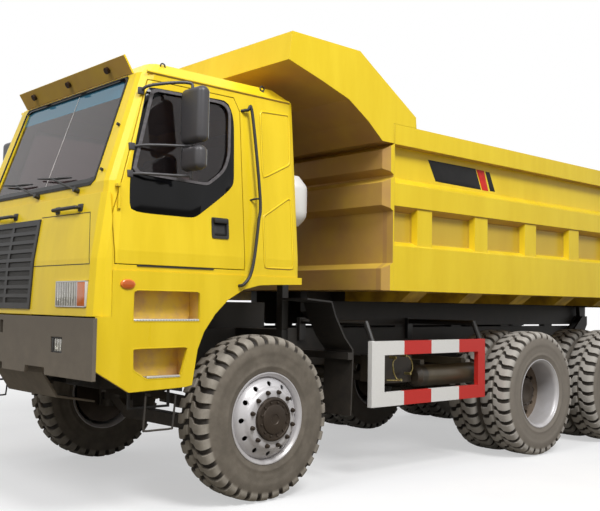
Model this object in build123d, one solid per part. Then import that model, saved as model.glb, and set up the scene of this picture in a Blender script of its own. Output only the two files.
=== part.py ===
"""Mining dump truck, 6x4, cab over the front axle, tipping rock body.

All sizes are in millimetres. X points to the truck's left, Y to its tail, Z up.
The ground is at Z = 0 and the front bumper faces -Y.
"""

import os
from math import cos, pi, radians, sin

from build123d import *

# Driving dimensions
TYRE_R = 650
TYRE_W = 355
WHEELBASE = 3650
TANDEM = 1660
FRONT_OVERHANG = 1570
REAR_OVERHANG = 1520
FRONT_TYRE_X = 1250
DUAL_OUTER_X = 1395
DUAL_SPACING = 410

# Stations along the truck
LENGTH = FRONT_OVERHANG + WHEELBASE + TANDEM + REAR_OVERHANG
FRONT_Y = -LENGTH / 2
TAIL_Y = LENGTH / 2
AXLE_F = FRONT_Y + FRONT_OVERHANG
AXLE_M = AXLE_F + WHEELBASE
AXLE_R = AXLE_M + TANDEM
BOGIE_Y = (AXLE_M + AXLE_R) / 2
DUAL_X = DUAL_OUTER_X - DUAL_SPACING / 2

# Wheels
RIM_R = 347
TYRE_BORE_R = RIM_R + 0.6
LIP_R = 371
TYRE_SIDES = 18
RIM_SIDES = 18
BEAD_IN = 28
SHOULDER = 38
WIDE_R = 500
TREAD_R = 626
LUG_FOOT_R = 622
LUG_COUNT = 20
HUB_R = 150
DISC_T = 16
HAND_HOLES = 10
HAND_HOLE_AT = 218
FRONT_DISH = [(-40, 318), (-28, 268), (-4, 240), (0, 195), (0, 90)]
REAR_DISH = [(20, 318), (4, 268), (-4, 240), (0, 195), (0, 90)]
FRONT_DISC_X = 1370
REAR_DISC_X = 1290

# Chassis frame
RAIL_OUT = 430
RAIL_IN = 340
RAIL_Z0 = 960
RAIL_Z1 = 1320
RAIL_Y0 = FRONT_Y + 200
PIVOT_Y = TAIL_Y - 500
RAIL_Y1 = PIVOT_Y - 90
PAD_T = 20
AXLE_TUBE_R = 95
STUB_R = 60

TRUNNION_R = 30
RUN = 0.1
TOW_R = 26
TOW_FRONT_Y = FRONT_Y + 80
TOW_REAR_Y = RAIL_Y1 + 65
CROSS_YS = (RAIL_Y0 + 40, AXLE_F + 1730, AXLE_F + 2280, AXLE_M - 320, BOGIE_Y, AXLE_R + 470, RAIL_Y1 - 40)

# Steering
KINGPIN_X = 1010
KINGPIN_R = 34
TRACK_ARM = 230
TIE_Z = 560

# Cab, set over to the left of a full-width front
DRAWN_FRONT_Y = -4200
FRONT_SHIFT = FRONT_Y - DRAWN_FRONT_Y
FRONT_HALF = 1440
SKIRT_X = 1430
CAB_MID = 280
CAB_HALF = 1140
CAB_SILL_HALF = 1099
CAB_EAVES_HALF = 1028
CORNER_R = 95
FRONT_R = 120
GRILLE_HALF = 450
GRILLE_BARS = 9
MIRROR_Y = -3470
CAB_BOTTOM_Z = 1760
CAB_WAIST_Z = 1900
CAB_ROOF_Z = 3320
CAB_REAR_Y = -2310
CAB_LOW_Y = -4110
CAB_FRONT_Y = -4145
SCREEN_LOW = (-4060, 2385)
SCREEN_TOP = (-3775, 3215)
CAB_WALL = 38
DOOR_GAP = 6
DOOR_HINGE = (CAB_MID + CAB_HALF - 20, -4000)
HINGE_PIN_R = 7
# height of each hinge plate, and how far its pin reaches
HINGE_PINS = ((1788, 52), (2350, -150))
DECK_Z = 2300
DOOR_OUTLINE = [(-4029, 1806), (-4045, 2135), (-3738, 3150), (-2960, 3150), (-2904, 3050), (-2904, 1806)]
WINDOW_OUTLINE = [
    (-3880, 2450), (-3500, 2430), (-3240, 2425), (-3078, 2549), (-3021, 2672), (-3000, 3041), (-3058, 3100),
    (-3700, 3090),
]
RIGHT_WINDOW = [(-3800, 2460), (-2600, 2460), (-2640, 3080), (-3620, 3080)]
SCREEN_SIZES = (860, 825, 2400, 3195)
REAR_SIZES = (640, 600, 2520, 3080)
HEADLAMP = (865, 1300, 1500, 1685)
FOG_LAMP = (849, 1015, 1178, 1288)

# Tipping body
BED_HALF = 1550
BED_INNER = BED_HALF - 130
BED_FLOOR_Z = 1680
WALL_H = 1485
BED_TOP_Z = BED_FLOOR_Z + WALL_H
BED_FRONT_Y = AXLE_F + 1310
RAMP_Y = TAIL_Y - 850
RAMP_RISE = 300
PIVOT_Z = 1400
PIVOT_R = 24
CANOPY_RISE = 407
CANOPY_HALF = BED_HALF - 50
SEAM_Z = CAB_ROOF_Z + 120
RIB_Z = BED_FLOOR_Z + 835
POST_COUNT = 5
POST_Y0 = BED_FRONT_Y + 440
POST_PITCH = (TAIL_Y - 1600 - POST_Y0) / (POST_COUNT - 1)
POST_YS = [POST_Y0 + i * POST_PITCH for i in range(POST_COUNT)]
REST_YS = [BED_FRONT_Y + 420 + i * (PIVOT_Y - 1120 - BED_FRONT_Y) / 4 for i in range(5)]

# Hoist
HOIST_X = 170
HOIST_BASE = (PIVOT_Y - 2700, 1060)
HOIST_EYE = (PIVOT_Y - 800, 1480)
BARREL_R = 75
ROD_R = 42


def box(x0, x1, y0, y1, z0, z1):
    """A block between two corners."""
    size = (abs(x1 - x0), abs(y1 - y0), abs(z1 - z0))
    middle = ((x0 + x1) / 2, (y0 + y1) / 2, (z0 + z1) / 2)
    return Pos(*middle) * Box(*size)


def plate_x(points, x0, x1):
    """A side-view outline of (y, z) points, filled from x0 to x1."""
    face = make_face(Polyline(*[(x0, y, z) for y, z in points], close=True))
    return extrude(face, amount=x1 - x0, dir=(1, 0, 0))


def plate_y(points, y0, y1):
    """A front-view outline of (x, z) points, filled from y0 to y1."""
    face = make_face(Polyline(*[(x, y0, z) for x, z in points], close=True))
    return extrude(face, amount=y1 - y0, dir=(0, 1, 0))


def plate_z(points, z0, z1):
    """A plan outline of (x, y) points, filled from z0 to z1."""
    face = make_face(Polyline(*[(x, y, z0) for x, y in points], close=True))
    return extrude(face, amount=z1 - z0, dir=(0, 0, 1))


def disc_x(x0, x1, y, z, radius):
    """A round bar along X."""
    place = Pos((x0 + x1) / 2, y, z) * Rot(0, 90, 0)
    return place * Cylinder(radius, abs(x1 - x0))


def rod(start, end, radius):
    """A round bar between two points."""
    a, b = Vector(*start), Vector(*end)
    plane = Plane(origin=a, z_dir=b - a)
    return extrude(plane * Circle(radius), amount=(b - a).length)


def tube(start, end, radius, sides=8):
    """A thin bar between two points with a few flat sides."""
    a, b = Vector(*start), Vector(*end)
    plane = Plane(origin=a, z_dir=b - a)
    return extrude(plane * RegularPolygon(radius, sides), amount=(b - a).length)


def turned(profile, sides):
    """A closed (x, r) profile turned round the wheel's axis in flat facets."""
    rings = []
    for x, r in profile:
        turn = [2 * pi * i / sides for i in range(sides)]
        rings.append([Vector(x, r * cos(a), TYRE_R + r * sin(a)) for a in turn])
    faces = []
    for low, top in zip(rings, rings[1:] + rings[:1]):
        for i in range(sides):
            j = (i + 1) % sides
            faces.append(make_face(Polyline(low[i], low[j], top[j], top[i], close=True)))
    return Solid(Shell(faces))


def both(shape):
    """The shape and its mirror image on the other side of the truck."""
    return shape + mirror(shape, about=Plane.YZ)


def right(shape):
    """The shape's mirror image on the truck's right side."""
    return mirror(shape, about=Plane.YZ)


def save(name, shape):
    """Write one node as a STEP file."""
    solids = shape.solids()
    body = Compound(children=list(solids)) if len(solids) > 1 else solids[0]
    export_step(body, f"parts/{name}.step")


# Chassis


def frame():
    """Two channel rails with the body rests, the hoist's seats and the rear hinge brackets."""
    web = 14
    flange = 18
    out, inn, z0, z1 = RAIL_OUT, RAIL_IN, RAIL_Z0, RAIL_Z1
    channel = [
        (out, z0), (out, z1), (inn, z1), (inn, z1 - flange),
        (out - web, z1 - flange), (out - web, z0 + flange), (inn, z0 + flange), (inn, z0),
    ]
    shape = both(plate_y(channel, RAIL_Y0, RAIL_Y1))
    for y in REST_YS:
        shape += both(box(inn + 5, out - 5, y - 90, y + 90, z1, z1 + PAD_T))
    y, z = PIVOT_Y, PIVOT_Z
    cheek = plate_x([(y - 260, 1150), (y - 90, 1150), (y + 50, z - 60), (y + 50, z + 50), (y - 60, z + 50),
                     (y - 260, 1290)], 442, 468)
    cheek += Pos(92, 0, 0) * cheek
    base = box(out - web, 560, y - 260, y - 90, 1170, 1290)
    pin = disc_x(442, 560, y, z, PIVOT_R)
    shape += both(cheek + base + pin)
    y, z = HOIST_BASE
    seat = box(295, out - web, y - 60, y + 60, z - 60, z + 60)
    seat -= disc_x(280, out - web - 6, y, z, TRUNNION_R + RUN)
    return shape + both(seat)


def cross_members():
    """Flanged members between the rails, the last one with the towing jaw."""
    half, z0, z1 = RAIL_OUT - 14.3, 990, 1120
    section = [(-40, z0), (-40, z1), (40, z1), (40, z1 - 14), (-26, z1 - 14), (-26, z0 + 14), (40, z0 + 14), (40, z0)]
    shape = Compound(children=[plate_x([(y + a, z) for a, z in section], -half, half) for y in CROSS_YS[:-1]])
    y = CROSS_YS[-1]
    last = box(-half, half, y - 20, RAIL_Y1, z0, z1)
    last += tow_jaw(RAIL_Y1, RAIL_Y1 + 120, TOW_REAR_Y, 996, 1116, TOW_R)
    return Compound(children=list(shape.solids()) + list(last.solids()))


def tow_jaw(y0, y1, bore_y, z0, z1, bore_r):
    """Two level plates with one upright hole for a towing pin."""
    jaw = box(-80, 80, y0, y1, z0, z0 + 24) + box(-80, 80, y0, y1, z1 - 24, z1)
    return jaw - Pos(0, bore_y, (z0 + z1) / 2) * Cylinder(bore_r, z1 - z0 + 10)


def bumper():
    """Deep front bumper with three lobes below and the curved belly pan."""
    y0 = FRONT_Y
    half, top, low, notch = 1445, 1430, 1010, 1062
    front = [
        (-half, low), (-half, top), (half, top), (half, low), (760, low), (750, notch), (440, notch), (430, low),
        (35, low), (30, notch), (-30, notch), (-35, low), (-430, low), (-440, notch), (-750, notch), (-760, low),
    ]
    shape = plate_y(front, y0, y0 + 30)
    shape -= box(-30, 30, y0 - 1, y0 + 31, 1290, 1390)
    shape += both(box(RAIL_IN, RAIL_OUT, y0 + 30, RAIL_Y0, 1080, 1260))
    pan = [(160, 1100), (160, 1000), (280, 820), (600, 760), (600, 745), (270, 802), (145, 995), (145, 1100)]
    shape += plate_x([(y0 + a, z) for a, z in pan], -RAIL_OUT, RAIL_OUT)
    shape += tow_jaw(y0 + 30, y0 + 125, TOW_FRONT_Y, 1296, 1384, TOW_R)
    return shape - pocket(FOG_LAMP, y0 - 10, y0 + 40)


def front_axle():
    """Forged beam under the front of the frame with its kingpin bosses."""
    beam = [
        (-900, 600), (-900, 700), (-620, 560), (620, 560), (900, 700), (900, 600), (640, 450), (-640, 450),
    ]
    shape = plate_y(beam, AXLE_F - 55, AXLE_F + 55)
    shape += both(box(890, KINGPIN_X, AXLE_F - 44, AXLE_F + 44, 590, 710))
    shape += both(Pos(KINGPIN_X, AXLE_F, 650) * Cylinder(50, 120))
    return shape - both(Pos(KINGPIN_X, AXLE_F, 650) * Cylinder(KINGPIN_R + RUN, 400))


def leaf_pack(x0, x1, y, eye_z, seat_z, half_span, leaves):
    """A bent pack of leaves, each shorter than the one above it, as one stepped outline."""
    t = 22
    slope = (eye_z - seat_z) / half_span
    points = [(y - half_span, eye_z + t), (y, seat_z + t), (y + half_span, eye_z + t), (y + half_span, eye_z)]
    low = []
    for i in range(1, leaves):
        reach = half_span * (1 - i / (leaves + 0.6))
        z = seat_z + slope * reach - (i - 1) * t
        low += [(reach, z), (reach, z - t)]
    points += [(y + a, z) for a, z in low]
    points += [(y, seat_z - (leaves - 1) * t)]
    points += [(y - a, z) for a, z in reversed(low)]
    points += [(y - half_span, eye_z)]
    return plate_x(points, x0, x1)


def front_springs():
    """Leaf packs on the beam with their hangers and the shock absorbers."""
    y = AXLE_F
    pack = leaf_pack(440, 520, y, 880, 700, 800, 5)
    pack += box(430, 530, y - 90, y + 90, 560, 740)
    for end in (-1, 1):
        pack += box(450, 510, y + end * 790 - 35, y + end * 790 + 35, 860, 1080)
        pack += box(RAIL_OUT, 530, y + end * 790 - 50, y + end * 790 + 50, 1000, 1200)
    shock = tube((600, y + 560, 1240), (600, y + 330, 918), 32, 12) + tube((600, y + 345, 939), (600, y + 130, 640), 44, 12)
    shock += box(RAIL_OUT, 620, y + 520, y + 600, 1200, 1260)
    shock += box(520, 620, y + 56, y + 150, 580, 660)
    return both(pack) + both(shock)


def drive_axle(y):
    """Banjo housing with its differential bowl and the two axle tubes."""
    shape = disc_x(-880, 880, y, TYRE_R, AXLE_TUBE_R) + disc_x(-1240, 1240, y, TYRE_R, STUB_R)
    bowl = Pos(0, y, TYRE_R) * Rot(90, 0, 0) * Cylinder(250, 260)
    nose = Pos(0, y - 200, TYRE_R + 20) * Rot(90, 0, 0) * Cylinder(110, 300)
    return shape + bowl + nose


def rear_springs():
    """Inverted leaf packs on the bogie shaft, with pads on both axles."""
    y = BOGIE_Y
    pack = plate_x([(AXLE_M - 90, 752), (AXLE_M - 90, 800), (y - 160, 960), (y + 160, 960), (AXLE_R + 90, 800),
                    (AXLE_R + 90, 752), (AXLE_R - 90, 752), (y + 130, 810), (y - 130, 810), (AXLE_M + 90, 752)], 470, 590)
    pack += box(RAIL_OUT, 470, y - 130, y + 130, 700, 1250)
    pack += disc_x(430, 610, y, 760, 70)
    for axle in (AXLE_M, AXLE_R):
        pack += box(480, 580, axle - 70, axle + 70, TYRE_R + 60, 760)
    shape = both(pack)
    for axle in (AXLE_M, AXLE_R):
        shape -= disc_x(-880, 880, axle, TYRE_R, AXLE_TUBE_R)
    return shape


def driveline():
    """Gearbox and the shafts to both drive axles."""
    gearbox = box(-210, 210, AXLE_F + 880, AXLE_F + 1630, 800, 1240)
    z = TYRE_R + 20
    shaft = rod((0, AXLE_F + 1620, 900), (0, AXLE_M - 380, z), 50)
    shaft += Pos(0, AXLE_M - 376, z) * Rot(90, 0, 0) * Cylinder(66, 51.4)
    shaft2 = rod((0, AXLE_M + 130.3, z), (0, AXLE_R - 350.3, z), 50)
    return gearbox + shaft + shaft2


def engine_block():
    """Plain block for the engine, with the radiator ahead of it."""
    block = box(-300, 300, -3480, -1750.3, 830, 1560)
    radiator = box(-320, 320, -3800, -3680, 900, 1640)
    return block + radiator + box(-200, 200, -3680, -3480, 1000, 1400)


def fuel_tank():
    """Rounded box tank on the right side of the frame."""
    y0, y1 = AXLE_F + 1280, AXLE_M - 820
    tank = box(-1330, -620, y0, y1, 700, 1200)
    tank = fillet(tank.edges().filter_by(Axis.Y), 90)
    for y in (y0 + 250, y1 - 250):
        tank += box(-640, -RAIL_OUT, y - 60, y + 60, 980, 1180)
        strap = fillet(box(-1334, -616, y - 30, y + 30, 696, 1204).edges().filter_by(Axis.Y), 94)
        tank += strap
    tank += Pos(-1150, y0 + 120, 1200) * Cylinder(55, 60)
    return tank


def air_tanks():
    """Air bottle and valve box behind the left guard."""
    y1 = AXLE_M - 720
    y0 = y1 - 940
    bottle = Pos(1200, (y0 + y1) / 2, 880) * Rot(90, 0, 0) * Cylinder(105, y1 - y0)
    bottle = chamfer(bottle.edges().filter_by(GeomType.CIRCLE), 35)
    for y in (y0 + 140, y1 - 150):
        bottle += box(RAIL_OUT, 1200, y - 30, y + 30, 960, 1030)
    valve = box(900, 1200, y0 - 409, y0 - 20, 826, 1080) + box(RAIL_OUT, 900, y0 - 320, y0 - 220, 980, 1060)
    return Compound(children=list(bottle.solids()) + list(valve.solids()))


def side_guards():
    """Underrun guard frames on bent tubes, one on each side."""
    y0, y1 = AXLE_F + 1181, AXLE_M - 800
    shape = box(1370, 1420, y0, y1, 650, 1230) - box(1360, 1430, y0 + 166, y1 - 114, 775, 1105)
    for y in (y0 + 40, y1 - 40):
        shape += tube((RAIL_OUT + 20, y, 1385), (1310, y, 1385), 26)
        shape += tube((1300, y, 1400), (1395, y, 1200), 26)
        shape += box(RAIL_OUT, RAIL_OUT + 40, y - 40, y + 40, 1200, 1420)
    return both(shape)


def mudguards():
    """Bent sheet guards behind the front wheels with rubber flaps."""
    guard = [
        (-2244, 1599), (-1958, 1578), (-1907, 1455), (-1795, 1274), (-1695, 1166), (-1693, 1061), (-1713, 601),
        (-1725, 601), (-1707, 1061), (-1709, 1160), (-1810, 1268), (-1921, 1448), (-1968, 1564), (-2244, 1585),
    ]
    shape = plate_x(guard, 1085, 1430)
    shape += box(RAIL_OUT, 1430, -1760, -1708, 1080, 1140)
    return both(shape)


def air_cleaner():
    """Air cleaner drum on its post behind the cab."""
    x, y = 1030, -2165
    shape = Pos(x, y, 2435) * Cylinder(120, 430)
    shape = chamfer(shape.edges().filter_by(GeomType.CIRCLE), 55)
    shape += box(x - 40, x + 40, y - 35, y + 35, 1330, 2225)
    shape += box(RAIL_OUT, x + 40, y - 35, y + 35, 1230, 1330)
    return shape


def lamps():
    """Headlamps with indicators, fog lamps and side markers."""
    x0, x1, z0, z1 = HEADLAMP
    shape = box(x0, x1, CAB_FRONT_Y - 43, CAB_FRONT_Y - 5, z0, z1)
    x0, x1, z0, z1 = FOG_LAMP
    shape += box(x0, x1, DRAWN_FRONT_Y + 3, DRAWN_FRONT_Y + 60, z0, z1)
    shape += box(SKIRT_X + 0.3, SKIRT_X + 16, -3995, -3877, 1632, 1700)
    tail = box(100, 330, RAIL_Y1 + 0.3, RAIL_Y1 + 46, 1005, 1105)
    return both(Pos(0, FRONT_SHIFT, 0) * shape + tail)


def pocket(sizes, y0, y1):
    """The hole for a lamp, a little larger than the lamp."""
    x0, x1, z0, z1 = sizes
    return both(box(x0 - 0.3, x1 + 0.3, y0, y1, z0 - 0.3, z1 + 0.3))


# Wheels


def tyre(x):
    """One tyre: a faceted carcass with lugs standing on its tread band."""
    half = TYRE_W / 2
    outside = [(half - BEAD_IN, TYRE_BORE_R), (half, WIDE_R), (half - SHOULDER, TREAD_R)]
    carcass = turned([(x + a, r) for a, r in outside] + [(x - a, r) for a, r in reversed(outside)], TYRE_SIDES)
    step = 2 * pi / LUG_COUNT
    points = []
    for i in range(LUG_COUNT):
        for share, radius in ((0.0, TYRE_R), (0.60, TYRE_R), (0.68, LUG_FOOT_R), (0.92, LUG_FOOT_R)):
            angle = (i + share) * step
            points.append((radius * cos(angle), TYRE_R + radius * sin(angle)))
    reach = half - SHOULDER
    lugs = plate_x(points, x - reach, x + reach)
    return carcass + (lugs - disc_x(x - half, x + half, 0, TYRE_R, WIDE_R))


def rim(x, dish, bolt_x):
    """Steel rim with its well, lips and dished disc, for a tyre centred at x."""
    seat = TYRE_W / 2 - BEAD_IN
    lip = seat + 14
    outer = [(-lip, LIP_R), (-seat - 0.3, RIM_R), (seat + 0.3, RIM_R), (lip, LIP_R), (lip, LIP_R - 12), (seat - 8, RIM_R - 26)]
    inner = [(-lip, LIP_R - 12), (-seat + 8, RIM_R - 26)]
    profile = [(x + a, r) for a, r in outer]
    profile += [(bolt_x + a, r) for a, r in dish]
    profile += [(bolt_x + a - DISC_T, r) for a, r in reversed(dish)]
    profile += [(x + a, r) for a, r in reversed(inner)]
    shape = turned(profile, RIM_SIDES)
    for i in range(HAND_HOLES):
        place = Pos(0, 0, TYRE_R) * Rot(360 * (i + 0.5) / HAND_HOLES, 0, 0)
        shape -= place * Pos(bolt_x, 0, HAND_HOLE_AT) * extrude(Plane.YZ * RegularPolygon(27, 8), amount=200, both=True)
    return shape


def front_tyre():
    """The left front tyre at its axle."""
    return Pos(0, AXLE_F, 0) * tyre(FRONT_TYRE_X)


def hub(x0, x1, radius):
    """A faceted drum round the axle, from x0 to x1."""
    return turned([(x0, radius), (x1, radius), (x1, STUB_R - 20), (x0, STUB_R - 20)], RIM_SIDES)


def front_rim():
    """The left front wheel with its hub and brake drum."""
    shape = rim(FRONT_TYRE_X, FRONT_DISH, FRONT_DISC_X)
    shape += hub(FRONT_DISC_X - 60, FRONT_DISC_X + 52, 118)
    shape += hub(1130, FRONT_DISC_X - 6, HUB_R)
    shape += hub(1120, 1290, 215)
    shape -= disc_x(1100, FRONT_DISC_X - 30, 0, TYRE_R, STUB_R + RUN)
    return Pos(0, AXLE_F, 0) * (shape + hub_cap(FRONT_DISC_X + 20, FRONT_DISC_X + 50))


def hub_cap(x0, x1):
    """The closed end of a hub."""
    return turned([(x0, 70), (x1, 70), (x1, 1), (x0, 1)], RIM_SIDES)


def rear_tyres(y):
    """Twin tyres of one rear wheel."""
    return Pos(0, y, 0) * (tyre(DUAL_OUTER_X) + tyre(DUAL_OUTER_X - DUAL_SPACING))


def rear_rims(y):
    """Twin rims of one rear wheel, back to back on the drum and hub."""
    inner = DUAL_OUTER_X - DUAL_SPACING
    shape = rim(DUAL_OUTER_X, REAR_DISH, REAR_DISC_X)
    seat = TYRE_W / 2 - BEAD_IN
    ring = [(-seat - 14, LIP_R), (-seat - 0.3, RIM_R), (seat + 0.3, RIM_R), (seat + 14, LIP_R), (seat + 14, LIP_R - 12),
            (seat - 8, RIM_R - 26), (8 - seat, RIM_R - 26), (-seat - 14, LIP_R - 12)]
    shape += turned([(inner + a, r) for a, r in ring], RIM_SIDES)
    shape += hub(REAR_DISC_X - 200, REAR_DISC_X - 5, RIM_R - 14)
    shape += hub(890, REAR_DISC_X - 190, 240)
    shape += hub(REAR_DISC_X - 10, REAR_DISC_X + 90, 140)
    shape -= disc_x(880, 1260, 0, TYRE_R, STUB_R + RUN)
    return Pos(0, y, 0) * (shape + hub_cap(REAR_DISC_X + 60, REAR_DISC_X + 88))


def knuckle():
    """Left steering knuckle: forks, kingpin, stub axle and track arm."""
    y = AXLE_F
    shape = Pos(KINGPIN_X, y, 650) * Cylinder(KINGPIN_R, 260)
    for z in (520, 716):
        shape += box(KINGPIN_X, KINGPIN_X + 62, y - 48, y + 48, z, z + 64) + Pos(KINGPIN_X, y, z + 32) * Cylinder(48, 64)
    shape += box(KINGPIN_X + 59, KINGPIN_X + 95, y - 60, y + 60, 520, 780)
    shape += disc_x(KINGPIN_X + 90, 1340, y, TYRE_R, STUB_R)
    shape += box(KINGPIN_X - 30, KINGPIN_X + 30, y + 40, y + TRACK_ARM + 30, 524, 580)
    shape -= Pos(KINGPIN_X, y + TRACK_ARM, 550) * Cylinder(16 + RUN, 200)
    return shape


def tie_rod():
    """Track rod between the two track arms."""
    y = AXLE_F + TRACK_ARM
    shape = disc_x(-KINGPIN_X, KINGPIN_X, y, 490, 28)
    for x in (-KINGPIN_X, KINGPIN_X):
        shape += Pos(x, y, 491.7) * Cylinder(36, 64)
        shape += Pos(x, y, 530) * Cylinder(16, 120)
    return shape


# Cab


def stack(levels):
    """A solid with flat sides through level outlines, each a height with its (x, y) points."""
    rings = [[Vector(x, y, z) for x, y in points] for z, points in levels]
    faces = [make_face(Polyline(*rings[0], close=True)), make_face(Polyline(*rings[-1], close=True))]
    for low, top in zip(rings, rings[1:]):
        for i in range(len(low)):
            j = (i + 1) % len(low)
            faces.append(make_face(Polyline(low[i], low[j], top[j], top[i], close=True)))
    return Solid(Shell(faces))


def plan(middle, half, front, rear, front_r, rear_r):
    """A level outline with rounded corners, as (x, y) points."""
    turn = [(1 - cos(radians(t)), 1 - sin(radians(t))) for t in (0, 30, 60, 90)]
    a, b = middle - half, middle + half
    points = [(a + front_r * u, front + front_r * v) for u, v in turn]
    points += [(b - front_r * u, front + front_r * v) for u, v in reversed(turn)]
    points += [(b - rear_r * u, rear - rear_r * v) for u, v in turn]
    points += [(a + rear_r * u, rear - rear_r * v) for u, v in reversed(turn)]
    return points


def cab_form(inset):
    """The cab's outer form, drawn in by an inset on every side."""
    # columns: height, half width, front, rear
    levels = (
        (CAB_BOTTOM_Z + inset, CAB_HALF, CAB_LOW_Y, CAB_REAR_Y),
        (CAB_WAIST_Z, CAB_HALF, CAB_LOW_Y + 5, CAB_REAR_Y),
        (SCREEN_LOW[1], CAB_SILL_HALF, SCREEN_LOW[0], CAB_REAR_Y),
        (SCREEN_TOP[1], CAB_EAVES_HALF, SCREEN_TOP[0], CAB_REAR_Y),
        (CAB_ROOF_Z - inset, CAB_EAVES_HALF - 110, SCREEN_TOP[0] + 130, CAB_REAR_Y - 110),
    )
    front_r, rear_r = CORNER_R - inset, CORNER_R - 30 - inset
    return stack([
        (z, plan(CAB_MID, half - inset, front + inset, rear - inset, front_r, rear_r))
        for z, half, front, rear in levels
    ])


def grown(points, by):
    """An outline moved outward by a distance, ready to cut a side wall."""
    face = make_face(Polyline(*[(0, y, z) for y, z in points], close=True))
    return offset(face, amount=by, kind=Kind.INTERSECTION) if by else face


def side_cut(points, by=0, x0=CAB_MID + 600, reach=900):
    """A cutter through a side wall in an outline's shape."""
    return Pos(x0, 0, 0) * extrude(grown(points, by), amount=reach, dir=(1, 0, 0))


def screen_cut(sizes, y0, y1, less=0):
    """A cutter for a glass in the front or rear wall."""
    half_low, half_top, low, top = sizes
    a, b = half_low - less, half_top - less
    points = [(-a, low + less), (a, low + less), (b, top - less), (-b, top - less)]
    return Pos(CAB_MID + 15, 0, 0) * plate_y(points, y0, y1)


def cab_shell():
    """Roof, floor, pillars and back wall round a hollow space."""
    shape = cab_form(0) - cab_form(CAB_WALL)
    shape -= side_cut(DOOR_OUTLINE, DOOR_GAP)
    shape -= side_cut(RIGHT_WINDOW, 0, CAB_MID - 1500)
    shape -= screen_cut(SCREEN_SIZES, -4300, -3500)
    shape -= screen_cut(REAR_SIZES, -2400, -2200)
    x, y = DOOR_HINGE
    for z, up in HINGE_PINS:
        shape += box(x - 30, x + 10, y - 20, y + 7, z - 10, z + 10) + upright(HINGE_PIN_R, z, z + up)
    return shape


def cab_front():
    """Full-width front panel wrapped round both corners."""
    skins = []
    for inset in (0, 12):
        # columns: height, half width, front
        levels = ((1440, 1430, -4180), (1840, 1424, -4155), (DECK_Z, 1416, -4085))
        skins.append(stack([
            (z, plan(0, half - inset, front + inset, -3000, FRONT_R - inset, 100)) for z, half, front in levels
        ]))
    shape = (skins[0] - skins[1]) & box(-1500, 1500, -4300, -4054, 1440, DECK_Z)
    shape -= cab_form(-0.3)
    shape -= box(30 - GRILLE_HALF, GRILLE_HALF - 30, -4300, -4060, 1520, 2120)
    return shape - pocket(HEADLAMP, -4300, -4100)


def grille():
    """Black grille: a frame with level bars, laid on the sloping panel."""
    t = 12
    face = [(-4177.8, 1480), (-4155.3, 1840), (-4106.6, 2160)]
    outline = face + [(y - t, z) for y, z in reversed(face)]
    shape = plate_x(outline, -GRILLE_HALF, GRILLE_HALF)
    low, high = 1480, 2160
    pitch = (high - low - 60) / GRILLE_BARS
    for i in range(GRILLE_BARS):
        z = low + 30 + i * pitch
        for a, b in ((40 - GRILLE_HALF, -20), (20, GRILLE_HALF - 40)):
            shape -= box(a, b, -4300, -4000, z + 14, z + pitch - 14)
    return shape


def cab_glass():
    """Windscreen, rear window and the fixed window on the right."""
    skin = cab_form(14) - cab_form(20)
    front = skin & screen_cut(SCREEN_SIZES, -4300, -3500, 0.3)
    rear = skin & screen_cut(REAR_SIZES, -2400, -2200, 0.3)
    side = skin & side_cut(RIGHT_WINDOW, -0.3, CAB_MID - 1500)
    return front + rear + side


def sun_visor():
    """Sun visor over the windscreen."""
    points = [(-3780, 3219), (-3858, 3340), (-3846, 3348), (-3765.5, 3223.4)]
    return plate_x(points, CAB_MID - 860, CAB_MID + 880)


def step_panels():
    """Skirt panels with the entry steps and wheel-arch edges."""
    outline = [
        (-4053, 1759.7), (-4053, 1439.7), (-4165, 1439.7), (-4165, 1073), (-3904, 921), (-3438, 936), (-3377, 948),
        (-3334, 1203), (-3280, 1331), (-3181, 1461), (-3063, 1570), (-2910, 1652), (-2751, 1689), (-2587, 1697),
        (CAB_REAR_Y, 1705), (CAB_REAR_Y, 1759.7),
    ]
    panel = plate_x(outline, SKIRT_X - 25, SKIRT_X)
    panel -= box(1300, 1500, -3884, -3321, 1409, 1626)
    panel -= plate_x([(-3879, 1219), (-3420, 1224), (-3479, 1012), (-3770, 1009), (-3875, 1075)], 1300, 1500)
    upper = box(1190, 1405, -3900, -3330, 1385, 1409) + box(1190, 1210, -3900, -3330, 1409, 1660)
    lower = box(1190, 1405, -3790, -3470, 985, 1009) + box(1190, 1210, -3790, -3470, 1009, 1385)
    roof = box(1190, 1405, -3900, -3330, 1640, 1660)
    tie = box(RAIL_OUT, 1190, -3860, -3800, 1200, 1260) + box(1130, 1190, -3860, -3800, 1200, 1500)
    rung = box(1322, 1338, -3853, -3507, 792, 808)
    for y in (-3853, -3523):
        rung += box(1322, 1338, y, y + 16, 792, 990)
    return both(panel + upper + lower + roof + tie + rung)


def side_deck():
    """Level deck beside the cab on the right, with its side and rear sheets."""
    inner = CAB_MID - CAB_HALF - 0.3
    shape = box(-1416, inner, -4053, CAB_REAR_Y, DECK_Z - 12, DECK_Z)
    shape += box(-1428, -1416, -4053, CAB_REAR_Y, 1760, DECK_Z)
    shape += box(-1416, inner, CAB_REAR_Y - 12, CAB_REAR_Y, 1760, DECK_Z - 12)
    return shape


def seats():
    """Driver's and passenger's seats on their boxes."""
    z = CAB_BOTTOM_Z + CAB_WALL
    seat = box(-230, 230, -3180, -2700, z, 2120) + box(-250, 250, -3200, -2680, 2120, 2250)
    seat += plate_x([(-2780, 2250), (-2680, 2250), (-2560, 2880), (-2650, 2900)], -240, 240)
    return Pos(CAB_MID + 480, 0, 0) * seat + Pos(CAB_MID - 480, 0, 0) * seat


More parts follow.
